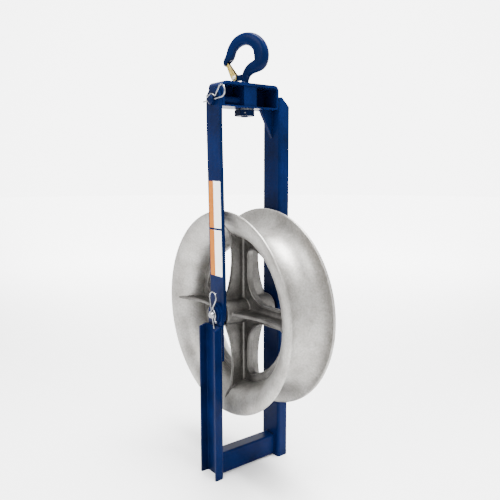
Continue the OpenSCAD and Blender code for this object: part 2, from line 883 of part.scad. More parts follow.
// Seen from outside: the latch narrows from its pin to its end
module latch_face(inset) {
    wide = latch_w / 2 - inset;
    thin = latch_end_w / 2 - inset;
    polygon([
        [-2 * latch_eye_r, -wide], [latch_web_x, -wide], [latch_len - 8, -thin],
        [2 * latch_len, -thin], [2 * latch_len, thin], [latch_len - 8, thin],
        [latch_web_x, wide], [-2 * latch_eye_r, wide]
    ]);
}

// Pressed channel: two cheeks and a back that faces out of the hook
module latch() {
    color("#c9b45a") in_latch() difference() {
        intersection() {
            hook_slab(2 * latch_w) polygon(concat(
                arc_points([latch_len, 0], latch_end_r, -latch_tangent, latch_tangent, 10),
                arc_points([0, 0], latch_eye_r, latch_tangent, 360 - latch_tangent, 24)
            ));
            linear_extrude(4 * latch_eye_r, center = true) latch_face(0);
        }
        intersection() {
            hook_slab(2 * latch_w) polygon([
                [-2 * latch_eye_r, -2 * latch_eye_r], [latch_len, -2 * latch_eye_r],
                [latch_len, latch_end_r - latch_t], [latch_web_x, latch_edge - latch_t],
                [latch_web_x, 2 * latch_eye_r], [-2 * latch_eye_r, 2 * latch_eye_r]
            ]);
            linear_extrude(5 * latch_eye_r, center = true) latch_face(latch_t);
        }
        rotate([90, 0, 0]) cylinder(d = latch_pin_d + 2 * run_gap, h = 2 * latch_w, center = true);
    }
}

module latch_pin() {
    head_t = 1.8;
    color("#d8d6c8") in_hook_plane() translate([latch_pivot[0], 0, latch_pivot[1]])
        rotate([90, 0, 0]) {
            cylinder(d = latch_pin_d, h = latch_w + 2 * turn_gap + eps, center = true);
            for (s = [0, 1]) mirror([0, 0, s]) translate([0, 0, latch_w / 2 + turn_gap])
                cylinder(d1 = 2 * latch_pin_d, d2 = 1.5 * latch_pin_d, h = head_t);
        }
}

// Coil round the latch pin: one leg lies on the latch's back, one points to the hook
module latch_spring() {
    steps = 40;
    coil_r = latch_eye_r - latch_t - spring_wire_d / 2 - turn_gap / 3;
    start_y = -ear_t / 2 - turn_gap / 2 - spring_wire_d / 2;
    pitch = spring_wire_d + turn_gap / 2;
    long_leg = 17;
    short_leg = 8;
    start_a = latch_tangent;
    end_a = start_a + 740;
    coil = [
        for (i = [0:steps])
            let (t = i / steps, a = start_a + (end_a - start_a) * t)
            [coil_r * cos(a), start_y - pitch * (end_a - start_a) * t / 360, coil_r * sin(a)]
    ];
    path = concat(
        [coil[0] + long_leg * [sin(start_a), 0, -cos(start_a)]], coil,
        [coil[steps] + short_leg * [-sin(end_a), 0, cos(end_a)]]
    );
    color("#3a3c40") in_latch() tube(path, spring_wire_d, [0, 1, 0]);
}

sheave_rim();
sheave_spokes();
sheave_centre();
front_bearing_outer();
rear_bearing_outer();
front_bearing_balls();
rear_bearing_balls();
front_dust_seal();
rear_dust_seal();
front_bearing_inner();
rear_bearing_inner();
bearing_spacer();
front_thrust_washer();
rear_spacer();
axle();
rear_leg();
front_leg();
axle_plate();
axle_plate_collar();
foot_tie();
side_strap();
head_bar();
head_floor();
head_back();
hook_block();
strap_stud();
head_gusset();
strap_clip();
axle_clip();
hook();
hook_nut();
nut_lock_pin();
nut_washer();
latch();
latch_pin();
latch_spring();
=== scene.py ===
"""Looks of the hook sheave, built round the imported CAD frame.

Every length in the dataclasses is in millimetres in the CAD's own frame: the
origin is on the floor under the wheel, +Z is up and the axle lies along Y.
Meshes are turned to metres when they are handed to Blender.
"""

import logging
import math
from dataclasses import dataclass, field
from enum import Enum
from typing import ClassVar

import bpy
import numpy as np
from bpy.types import Material, NodeSocket, Object, World
from mathutils import Euler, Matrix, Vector

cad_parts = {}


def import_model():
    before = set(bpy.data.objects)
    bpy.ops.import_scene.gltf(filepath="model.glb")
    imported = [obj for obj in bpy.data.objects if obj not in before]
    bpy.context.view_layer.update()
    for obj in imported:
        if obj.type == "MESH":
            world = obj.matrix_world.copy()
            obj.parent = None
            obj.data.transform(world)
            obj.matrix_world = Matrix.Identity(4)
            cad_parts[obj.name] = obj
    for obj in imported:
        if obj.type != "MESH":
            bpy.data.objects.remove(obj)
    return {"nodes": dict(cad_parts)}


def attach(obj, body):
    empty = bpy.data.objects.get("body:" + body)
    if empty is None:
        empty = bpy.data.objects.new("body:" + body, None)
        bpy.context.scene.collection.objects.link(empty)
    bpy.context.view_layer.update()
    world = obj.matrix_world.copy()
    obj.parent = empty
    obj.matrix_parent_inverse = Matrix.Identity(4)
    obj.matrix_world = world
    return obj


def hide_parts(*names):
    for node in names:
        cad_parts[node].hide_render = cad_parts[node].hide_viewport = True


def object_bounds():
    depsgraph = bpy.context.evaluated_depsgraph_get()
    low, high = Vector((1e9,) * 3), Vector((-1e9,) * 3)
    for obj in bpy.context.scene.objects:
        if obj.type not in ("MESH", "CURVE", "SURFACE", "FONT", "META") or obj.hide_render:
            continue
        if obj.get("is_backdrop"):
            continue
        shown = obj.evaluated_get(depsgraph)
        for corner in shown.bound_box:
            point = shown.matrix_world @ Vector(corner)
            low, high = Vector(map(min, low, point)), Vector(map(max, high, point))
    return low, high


Pair = tuple[float, float]
Place = tuple[float, float, float]
Colour = tuple[float, float, float, float]

LOG = logging.getLogger("hook_sheave")
MM = 0.001
AXLE_Z = 375.0
ALONG_X, ALONG_Y, ALONG_Z = (1.0, 0.0, 0.0), (0.0, 1.0, 0.0), (0.0, 0.0, 1.0)
# The radius at which a turned section stops, just off its axis.
AXIS = 0.01
# Turns +Z towards -Y: lays the wheel on its axle and stands a flat outline up.
UPRIGHT = np.array([[1, 0, 0], [0, 0, -1], [0, 1, 0]])


class Finish(Enum):
    """The finishes that the pieces wear, by material name."""

    ENAMEL = "blue_enamel"
    # Deeper blue: the welds' paint, and painted shade on the hook's nut under the head.
    WELD = "weld_paint_and_painted_shade"
    CASTING = "cast_aluminium"
    TURNED = "turned_aluminium"
    STEEL = "plain_steel"
    WIRE = "bright_wire"
    ZINC = "yellow_zinc"
    PALE = "pale_steel"
    WASHER = "black_washer"
    RUBBER = "seal_rubber"
    ORANGE = "orange_panel"
    WHITE = "white_panel"
    FLOOR = "pale_floor"


class Slot(Enum):
    """The record's material slots."""

    BLUE = "blue_paint"
    ALUMINIUM = "cast_aluminium"
    BRIGHT = "bright_steel"
    PLAIN = "plain_steel"


class Body(Enum):
    """The CAD bodies that pieces ride on."""

    FRAME = "frame"
    WHEEL = "wheel"
    HOOK = "hook_body"
    LATCH = "latch_body"
    STRAP_CLIP = "strap_clip_body"
    AXLE_CLIP = "axle_clip_body"


# ---------------------------------------------------------------- surfaces


@dataclass
class Shell:
    """A closed surface.

    Attributes:
        points: Corner points in millimetres, one row each.
        faces: Lists of corner numbers.
    """

    points: np.ndarray
    faces: list[list[int]]

    def moved(self, shift: Place) -> "Shell":
        """Returns a copy moved by shift."""
        return Shell(self.points + np.array(shift), self.faces)

    def mapped(self, matrix: np.ndarray) -> "Shell":
        """Returns a copy whose points are multiplied by a 3 x 3 matrix."""
        return Shell(self.points @ matrix.T, self.faces)

    def volume(self) -> float:
        """Works out the signed volume: a sixth of the triangles' triple products.

        Returns:
            The volume in cubic millimetres, negative when the faces look inwards.
        """
        total = 0.0
        for count in {len(face) for face in self.faces}:
            rows = np.array([face for face in self.faces if len(face) == count])
            first = self.points[rows[:, 0]]
            for k in range(1, count - 1):
                b, c = self.points[rows[:, k]], self.points[rows[:, k + 1]]
                total += float(np.einsum("ij,ij->", first, np.cross(b, c))) / 6
        return total

    def outward(self) -> "Shell":
        """Turns the faces to look outwards.

        Returns:
            The shell, or a copy with turned faces.
        """
        if self.volume() >= 0:
            return self
        return Shell(self.points, [face[::-1] for face in self.faces])


def unit(degrees: float) -> np.ndarray:
    """Returns the cosine and the sine of an angle."""
    return np.array([math.cos(math.radians(degrees)), math.sin(math.radians(degrees))])


def turn_about_z(degrees: float) -> np.ndarray:
    """Returns the matrix that turns points about Z."""
    c, s = unit(degrees)
    return np.array([[c, -s, 0], [s, c, 0], [0, 0, 1]])


def turn_about_y(degrees: float) -> np.ndarray:
    """Returns the matrix that turns points about Y."""
    c, s = unit(degrees)
    return np.array([[c, 0, s], [0, 1, 0], [-s, 0, c]])


def arc(
    centre: Pair, radius: float, start: float, end: float, count: int
) -> np.ndarray:
    """Lays points on an arc: the middle plus radius times cosine and sine.

    Args:
        centre: The middle.
        radius: The radius.
        start: First angle in degrees.
        end: Last angle in degrees.
        count: How many steps there are.

    Returns:
        Rows of count + 1 points.
    """
    angle = np.radians(np.linspace(start, end, count + 1))
    return np.column_stack(
        [centre[0] + radius * np.cos(angle), centre[1] + radius * np.sin(angle)]
    )


def directions(path: np.ndarray) -> np.ndarray:
    """Returns the unit direction of a path at each of its points."""
    way = np.gradient(path, axis=0)
    return way / np.linalg.norm(way, axis=1, keepdims=True)


def lengths(path: np.ndarray) -> np.ndarray:
    """Returns how far along a path each of its points is."""
    steps = np.linalg.norm(np.diff(path, axis=0), axis=1)
    return np.concatenate([[0], np.cumsum(steps)])


def ring_quads(rings: int, sides: int, closed: bool) -> list[list[int]]:
    """Numbers the quads between neighbouring rings of points.

    Args:
        rings: How many rings there are.
        sides: How many points each ring has.
        closed: Whether the last ring joins the first.

    Returns:
        The quads, as lists of corner numbers.
    """
    row = np.arange(rings if closed else rings - 1)[:, None] * sides
    nxt = (row + sides) % (rings * sides)
    col = np.arange(sides)[None, :]
    far = (col + 1) % sides
    quads = np.stack([row + col, row + far, nxt + far, nxt + col], axis=-1)
    return quads.reshape(-1, 4).tolist()


def stacked(rings: np.ndarray) -> Shell:
    """Closes a stack of rings of points with flat ends.

    Args:
        rings: Grid of points, rings by sides by 3.

    Returns:
        The closed shell.
    """
    count, sides = rings.shape[:2]
    last = (count - 1) * sides
    faces = ring_quads(count, sides, False)
    faces += [list(range(sides))[::-1], list(range(last, last + sides))]
    return Shell(rings.reshape(-1, 3), faces).outward()


def revolved(profile: list[Pair] | np.ndarray, turns: int) -> Shell:
    """Turns a closed profile about Z.

    A point at angle t is (r cos t, r sin t, h) for each profile point (r, h).

    Args:
        profile: Radius and height of each point round the closed section.
        turns: How many steps make the full turn.

    Returns:
        The ring-shaped shell.
    """
    angle = np.linspace(0, 2 * math.pi, turns, endpoint=False)[:, None]
    radius, height = np.array(profile, float).T[:, None, :]
    x, y = radius * np.cos(angle), radius * np.sin(angle)
    points = np.stack([x, y, np.broadcast_to(height, x.shape)], axis=-1).reshape(-1, 3)
    return Shell(points, ring_quads(turns, len(profile), True)).outward()


def sleeve(inner: float, outer: float, half: float, turns: int) -> Shell:
    """Returns a ring with flat ends between two radii, half of its length given."""
    section = [(inner, -half), (outer, -half), (outer, half), (inner, half)]
    return revolved(section, turns)


def tube(
    path: np.ndarray, radius: float | np.ndarray, sides: int, ref: Place
) -> Shell:
    """Carries a circle along a path.

    Each ring lies square to the path: one of its axes is the cross product of
    ref and the path's direction, the other completes the right-handed set.

    Args:
        path: Rows of points along the middle line.
        radius: The circle's radius, or one for each point.
        sides: Points in each circle.
        ref: A direction that the path never runs along.

    Returns:
        The closed tube.
    """
    way = directions(path)
    across = np.cross(ref, way)
    across /= np.linalg.norm(across, axis=1, keepdims=True)
    up = np.cross(way, across)
    angle = np.linspace(0, 2 * math.pi, sides, endpoint=False)[None, :, None]
    circle = across[:, None, :] * np.cos(angle) + up[:, None, :] * np.sin(angle)
    size = np.broadcast_to(radius, len(path))[:, None, None]
    return stacked(path[:, None, :] + circle * size)


def prism(outline: np.ndarray, low: float, high: float) -> Shell:
    """Lifts a flat outline between two heights along Z.

    Args:
        outline: Rows of x and y round the closed outline.
        low: Height of the lower face.
        high: Height of the upper face.

    Returns:
        The closed prism.
    """
    levels = [np.full(len(outline), level) for level in (low, high)]
    return stacked(np.array([np.column_stack([outline, level]) for level in levels]))


def upright(outline: np.ndarray, thick: float) -> Shell:
    """Returns an outline in x and z as a plate, thick along Y about its middle."""
    return prism(outline, -thick / 2, thick / 2).mapped(UPRIGHT)


def slab_between(outer: np.ndarray, inner: np.ndarray) -> Shell:
    """Closes the space between two grids of points.

    Args:
        outer: Grid of points, rows by columns by 3.
        inner: A grid of the same shape.

    Returns:
        The closed slab.
    """
    rows, cols = outer.shape[:2]
    count = rows * cols
    grid = np.arange(count).reshape(rows, cols)
    corners = [grid[:-1, :-1], grid[1:, :-1], grid[1:, 1:], grid[:-1, 1:]]
    quads = np.stack(corners, axis=-1).reshape(-1, 4)
    rim = np.concatenate([grid[0, :-1], grid[:-1, -1], grid[-1, :0:-1], grid[:0:-1, 0]])
    nxt = np.roll(rim, -1)
    wall = np.stack([rim, nxt, nxt + count, rim + count], axis=-1)
    faces = quads.tolist() + (quads[:, ::-1] + count).tolist() + wall.tolist()
    points = np.vstack([outer.reshape(-1, 3), inner.reshape(-1, 3)])
    return Shell(points, faces).outward()


# ---------------------------------------------------------------- finishes


def tint(red: int, green: int, blue: int) -> Colour:
    """Turns a screen colour into Blender's linear colour.

    Args:
        red: Red from 0 to 255.
        green: Green.
        blue: Blue.

    Returns:
        Red, green and blue from 0 to 1, and a full alpha.
    """

    def linear(value: int) -> float:
        """Undoes the screen's curve for one channel."""
        v = value / 255
        return v / 12.92 if v <= 0.04045 else ((v + 0.055) / 1.055) ** 2.4

    return linear(red), linear(green), linear(blue), 1.0


@dataclass(frozen=True)
class Layer:
    """One layer of bump.

    Attributes:
        size: The size of its grains in millimetres.
        detail: How many finer layers its noise has.
        depth: Its depth in millimetres.
        strength: How much of it shows.
    """

    size: float
    detail: float
    depth: float
    strength: float


class Nodes:
    """The nodes of a material or of the world, with short ways to add to them."""

    def __init__(self, owner: Material | World, shader: str) -> None:
        """Starts from the shader that the owner has.

        Args:
            owner: What the nodes belong to.
            shader: The shader node's name.
        """
        owner.use_nodes = True
        self.owner = owner
        self.tree = owner.node_tree
        self.shader = self.tree.nodes[shader]
        self.coordinates = self.add("ShaderNodeTexCoord").outputs
        self.place = self.coordinates["Object"]

    @classmethod
    def material(cls, finish: Finish) -> "Nodes":
        """Starts a material that is named after its finish."""
        return cls(bpy.data.materials.new(finish.value), "Principled BSDF")

    def add(self, kind: str, **values: object) -> bpy.types.Node:
        """Adds a node and sets its named properties.

        Args:
            kind: The node's type.
            **values: The properties.

        Returns:
            The node.
        """
        node = self.tree.nodes.new(kind)
        for key, value in values.items():
            setattr(node, key, value)
        return node

    def join(self, source: NodeSocket, target: NodeSocket) -> None:
        """Links one socket to another."""
        self.tree.links.new(source, target)

    def set(self, **values: object) -> None:
        """Sets the shader's sockets. An underscore stands for a space."""
        for key, value in values.items():
            self.shader.inputs[key.replace("_", " ")].default_value = value

    def feed(self, **sources: NodeSocket) -> None:
        """Links sockets to the shader's. An underscore stands for a space."""
        for key, source in sources.items():
            self.join(source, self.shader.inputs[key.replace("_", " ")])

    def noise(
        self, size: float, detail: float, where: NodeSocket | None = None
    ) -> NodeSocket:
        """Adds noise.

        Args:
            size: The size of its grains in millimetres.
            detail: How many finer layers are added.
            where: The coordinates, or None for the object's own.

        Returns:
            The noise's value.
        """
        node = self.add("ShaderNodeTexNoise")
        node.inputs["Scale"].default_value = 1 / (size * MM)
        node.inputs["Detail"].default_value = detail
        self.join(where or self.place, node.inputs["Vector"])
        return node.outputs[0]

    def ramp(self, value: NodeSocket, stops: list[tuple[float, Colour]]) -> NodeSocket:
        """Turns a value into a colour.

        Args:
            value: What drives the ramp.
            stops: Places from 0 to 1 with their colours.

        Returns:
            The ramp's colour.
        """
        node = self.add("ShaderNodeValToRGB")
        elements = node.color_ramp.elements
        elements[0].position, elements[0].color = stops[0]
        elements[1].position, elements[1].color = stops[-1]
        for place, colour in stops[1:-1]:
            elements.new(place).color = colour
        self.join(value, node.inputs[0])
        return node.outputs[0]

    def span(
        self,
        value: NodeSocket,
        to: Pair,
        start: Pair = (0.0, 1.0),
        kind: str = "LINEAR",
    ) -> NodeSocket:
        """Stretches a value from one span to another.

        Args:
            value: The value.
            to: The ends that it gets.
            start: The ends that it has.
            kind: LINEAR, or SMOOTHSTEP to round both ends off.

        Returns:
            The stretched value.
        """
        node = self.add("ShaderNodeMapRange", interpolation_type=kind)
        for name, ends in (("From", start), ("To", to)):
            for end, number in zip(("Min", "Max"), ends):
                node.inputs[f"{name} {end}"].default_value = number
        self.join(value, node.inputs["Value"])
        return node.outputs[0]

    def vector(self, operation: str, source: NodeSocket) -> bpy.types.Node:
        """Adds a vector operation on a socket.

        Args:
            operation: Its name.
            source: What it works on.

        Returns:
            The node.
        """
        node = self.add("ShaderNodeVectorMath", operation=operation)
        self.join(source, node.inputs[0])
        return node

    def towards(self, source: NodeSocket, way: Place) -> NodeSocket:
        """Measures how far a direction points along a way, as their dot product.

        Args:
            source: The direction.
            way: The way.

        Returns:
            The product.
        """
        node = self.vector("DOT_PRODUCT", source)
        node.inputs[1].default_value = way
        return node.outputs["Value"]

    def relief(
        self, height: NodeSocket, layer: Layer, under: NodeSocket | None
    ) -> NodeSocket:
        """Adds bump.

        Args:
            height: The height pattern.
            layer: Its depth and its strength.
            under: A normal that this bump lies on.

        Returns:
            The bumped normal.
        """
        node = self.add("ShaderNodeBump")
        node.inputs["Strength"].default_value = layer.strength
        node.inputs["Distance"].default_value = layer.depth * MM
        self.join(height, node.inputs["Height"])
        if under is not None:
            self.join(under, node.inputs["Normal"])
        return node.outputs[0]

    def soft_edge(self, radius: float) -> NodeSocket:
        """Rounds edges in the shading only.

        Args:
            radius: The rounding's radius in millimetres.

        Returns:
            The rounded normal.
        """
        node = self.add("ShaderNodeBevel", samples=4)
        node.inputs["Radius"].default_value = radius * MM
        return node.outputs[0]


@dataclass(frozen=True)
class Recipe:
    """How a finish is made: patches of colour and of gloss over layers of bump.

    A pattern is the size of its grains in millimetres and its detail.

    Attributes:
        sockets: Constants of the shader, with an underscore for a space.
        finish: The material's name.
        colours: The colours of the patches, from the darkest.
        rough: The least and the greatest roughness.
        stops: Where in the patches' noise, from 0 to 1, each colour stands.
        patch: Pattern of the colours.
        gloss: Pattern of the roughness.
        layers: The layers of bump, from the lowest.
        edge: How far edges look rounded in millimetres, 0 for not at all.
    """

    sockets: ClassVar[dict[str, float]] = {}

    finish: Finish
    colours: tuple[tuple[int, int, int], ...]
    rough: Pair = (0.5, 0.7)
    stops: tuple[float, ...] = (0.3, 0.6)
    patch: Pair = (12, 4)
    gloss: Pair = (4, 3)
    layers: tuple[Layer, ...] = (Layer(1.0, 3, 0.05, 0.3),)
    edge: float = 0.0

    def colour(self, nodes: Nodes) -> NodeSocket:
        """Returns the patches' colour."""
        colours = [tint(*colour) for colour in self.colours]
        return nodes.ramp(nodes.noise(*self.patch), list(zip(self.stops, colours)))

    def normal(self, nodes: Nodes) -> NodeSocket:
        """Lays each layer of bump on the one before.

        Args:
            nodes: The material's nodes.

        Returns:
            The uppermost layer's normal.
        """
        normal = nodes.soft_edge(self.edge) if self.edge else None
        for layer in self.layers:
            grains = nodes.noise(layer.size, layer.detail)
            normal = nodes.relief(grains, layer, normal)
        return normal

    def make(self) -> Material:
        """Builds the material: a ramp over noise for its colour, noise for its gloss.

        Returns:
            The material.
        """
        nodes = Nodes.material(self.finish)
        nodes.set(**self.sockets)
        nodes.feed(
            Base_Color=self.colour(nodes),
            Roughness=nodes.span(nodes.noise(*self.gloss), self.rough),
            Normal=self.normal(nodes),
        )
        return nodes.owner


@dataclass(frozen=True)
class Plain(Recipe):
    """Rubber or plastic: no metal, a little mottled."""

    sockets: ClassVar[dict[str, float]] = {"Specular_IOR_Level": 0.2}


@dataclass(frozen=True)
class Film(Plain):
    """Printed film, smoother than rubber."""

    patch: Pair = (30, 4)
    gloss: Pair = (10, 3)
    layers: tuple[Layer, ...] = (Layer(2.5, 3, 0.02, 0.3),)


@dataclass(frozen=True)
class Paint(Recipe):
    """Sprayed enamel with a slight orange peel and a few runs."""

    sockets: ClassVar[dict[str, float]] = {
        "Specular_IOR_Level": 0.08,
        "IOR": 1.25,
        "Coat_Weight": 0.02,
        "Coat_Roughness": 0.12,
    }
    rough: Pair = (0.24, 0.46)
    stops: tuple[float, ...] = (0.30, 0.52, 0.78)
    patch: Pair = (70, 5)
    gloss: Pair = (18, 4)
    layers: tuple[Layer, ...] = (Layer(2.2, 2, 0.12, 0.35), Layer(24, 2, 0.5, 0.25))
    edge: float = 1.2


@dataclass(frozen=True)
class Steel(Recipe):
    """Plated or plain steel."""

    sockets: ClassVar[dict[str, float]] = {"Metallic": 1.0}
    stops: tuple[float, ...] = (0.3, 0.65)
    patch: Pair = (7, 4)
    gloss: Pair = (3, 3)
    layers: tuple[Layer, ...] = (Layer(0.9, 3, 0.03, 0.4),)
    edge: float = 0.4


@dataclass(frozen=True)
class CastMetal(Recipe):
    """Sand-cast or turned light metal.

    Attributes:
        specks: Pattern of the dark and light specks in its skin.
        speck_light: How much a speck's light is of its patch's.
        lathe: Layers of lathe lines about the axle, over the skin's layers.
    """

    sockets: ClassVar[dict[str, float]] = {"Metallic": 0.85, "IOR": 1.5}
    stops: tuple[float, ...] = (0.32, 0.62)
    patch: Pair = (45, 6)
    gloss: Pair = (9, 3)
    edge: float = 0.8
    specks: Pair = (4.5, 3)
    speck_light: Pair = (0.55, 1.3)
    lathe: tuple[Layer, ...] = ()

    def colour(self, nodes: Nodes) -> NodeSocket:
        """Multiplies the patches' colour by the specks' light.

        Args:
            nodes: The material's nodes.

        Returns:
            The colour.
        """
        speckled = nodes.vector("SCALE", super().colour(nodes))
        light = nodes.span(nodes.noise(*self.specks), self.speck_light)
        nodes.join(light, speckled.inputs["Scale"])
        return speckled.outputs[0]

    def normal(self, nodes: Nodes) -> NodeSocket:
        """Lays the lathe lines on the skin.

        A line is noise over the distance from the axle and the place along it.

        Args:
            nodes: The material's nodes.

        Returns:
            The normal.
        """
        normal = super().normal(nodes)
        for layer in self.lathe:
            flat = nodes.add("ShaderNodeMapping")
            flat.inputs["Location"].default_value = (0, 0, -AXLE_Z * MM)
            flat.inputs["Scale"].default_value = (1, 0, 1)
            nodes.join(nodes.place, flat.inputs["Vector"])
            split = nodes.add("ShaderNodeSeparateXYZ")
            nodes.join(nodes.place, split.inputs[0])
            both = nodes.add("ShaderNodeCombineXYZ")
            away = nodes.vector("LENGTH", flat.outputs[0])
            nodes.join(away.outputs["Value"], both.inputs[0])
            nodes.join(split.outputs[1], both.inputs[1])
            lines = nodes.noise(layer.size, layer.detail, both.outputs[0])
            normal = nodes.relief(lines, layer, normal)
        return normal


DEEP_BLUE, BLUE, WORN_BLUE = (3, 12, 38), (4, 17, 52), (6, 22, 62)
RECIPES = (
    Paint(Finish.ENAMEL, (DEEP_BLUE, BLUE, WORN_BLUE)),
    # Deeper blue for the welds; on the hook's nut it is painted shade under the head.
    Paint(
        Finish.WELD, (DEEP_BLUE, DEEP_BLUE, BLUE), edge=0.3,
        layers=(Layer(2.2, 2, 0.3, 0.35), Layer(24, 2, 0.5, 0.25)),
    ),
    CastMetal(
        Finish.CASTING, ((74, 72, 70), (100, 98, 95)), (0.36, 0.56),
        layers=(Layer(1.7, 4, 0.35, 0.5),),
    ),
    CastMetal(
        Finish.TURNED, ((130, 127, 123), (158, 156, 152)), (0.36, 0.52),
        layers=(Layer(1.9, 4, 0.25, 0.5),), lathe=(Layer(1.1, 2, 0.12, 0.45),),
    ),
    # Kept dark: on the nut's washer under the head this is painted shade.
    Steel(Finish.STEEL, ((60, 62, 66), (96, 98, 102)), (0.3, 0.5)),
    Steel(Finish.WIRE, ((96, 99, 104), (148, 150, 154)), (0.1, 0.24)),
    Steel(Finish.ZINC, ((118, 98, 44), (172, 152, 84)), (0.22, 0.4)),
    Steel(Finish.PALE, ((152, 147, 130), (186, 182, 166)), (0.28, 0.48)),
    Plain(Finish.WASHER, ((18, 18, 20), (30, 31, 34)), (0.35, 0.55)),
    Plain(Finish.RUBBER, ((18, 18, 19), (28, 28, 29))),
    Film(Finish.ORANGE, ((154, 85, 0), (164, 92, 0)), (0.5, 0.65)),
    Film(Finish.WHITE, ((232, 231, 228), (242, 241, 238)), (0.3, 0.45)),
)


# ---------------------------------------------------------------- workshop


class Workshop:
    """Makes Blender pieces from shells and hangs them on the CAD's bodies."""

    def __init__(self) -> None:
        """Builds every finish once."""
        self.finishes = {recipe.finish: recipe.make() for recipe in RECIPES}

    def mesh(self, name: str, shells: list[Shell], smooth: bool = True) -> Object:
        """Puts shells into one mesh.

        Args:
            name: The object's name.
            shells: The closed surfaces, in millimetres.
            smooth: Whether the faces shade smoothly.

        Returns:
            The new object, at the origin.
        """
        points, faces, start = [], [], 0
        for shell in shells:
            points.append(shell.points * MM)
            faces += [[start + corner for corner in face] for face in shell.faces]
            start += len(shell.points)
        data = bpy.data.meshes.new(name)
        data.from_pydata(np.vstack(points).tolist(), [], faces)
        data.update()
        if smooth:
            data.shade_smooth()
        made = bpy.data.objects.new(name, data)
        bpy.context.scene.collection.objects.link(made)
        return made

    def settle(self, piece: Object) -> None:
        """Turns a piece's modifiers into its mesh.

        Args:
            piece: The object with modifiers.
        """
        bpy.context.view_layer.update()
        graph = bpy.context.evaluated_depsgraph_get()
        old = piece.data
        piece.data = bpy.data.meshes.new_from_object(piece.evaluated_get(graph))
        piece.modifiers.clear()
        piece.data.name = piece.name
        bpy.data.meshes.remove(old)

    def fused(
        self, name: str, shells: list[Shell], voxel: float, rounds: int
    ) -> Object:
        """Grows shells together as one casting.

        The shells are voxel-remeshed as one body, and each point is then moved
        half way to its neighbours' middle for some rounds, which leaves fillets.

        Args:
            name: The object's name.
            shells: Closed surfaces that overlap.
            voxel: The remesh's grain in millimetres.
            rounds: How many rounds of smoothing are made.

        Returns:
            The new object.
        """
        piece = self.mesh(name, shells)
        remesh = piece.modifiers.new("grow", "REMESH")
        remesh.mode, remesh.voxel_size = "VOXEL", voxel * MM
        smooth = piece.modifiers.new("fillet", "SMOOTH")
        smooth.factor, smooth.iterations = 0.5, rounds
        self.settle(piece)
        piece.data.shade_smooth()
        return piece

    def cut(self, piece: Object, cutters: list[Shell]) -> None:
        """Takes shells away from a piece.

        Args:
            piece: The object that is cut.
            cutters: Closed shells.
        """
        for cutter in cutters:
            tool = self.mesh("cutter", [cutter], False)
            less = piece.modifiers.new("cut", "BOOLEAN")
            less.operation, less.solver, less.object = "DIFFERENCE", "EXACT", tool
            self.settle(piece)
            bpy.data.objects.remove(tool)

    def hand_over(
        self, piece: Object, body: Body, finish: Finish,
        nodes: tuple[str, ...] = (),
    ) -> None:
        """Dresses a piece and lets it ride on its body.

        Args:
            piece: The finished object.
            body: The CAD body it moves with.
            finish: What it wears.
            nodes: CAD nodes that it stands for.
        """
        piece.data.materials.clear()
        piece.data.materials.append(self.finishes[finish])
        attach(piece, body.value)
        if nodes:
            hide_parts(*nodes)
        LOG.info("%s: %d faces on %s", piece.name, len(piece.data.polygons), body.value)

    def dress(self, nodes: dict[str, Object], wear: dict[str, Finish]) -> None:
        """Gives CAD nodes their finishes.

        Args:
            nodes: The frame's CAD nodes by name.
            wear: Each node's finish.
        """
        for name, finish in wear.items():
            for slot in nodes[name].material_slots:
                slot.material = self.finishes[finish]
            LOG.info("%s wears %s", name, finish.value)


# ---------------------------------------------------------------- wheel


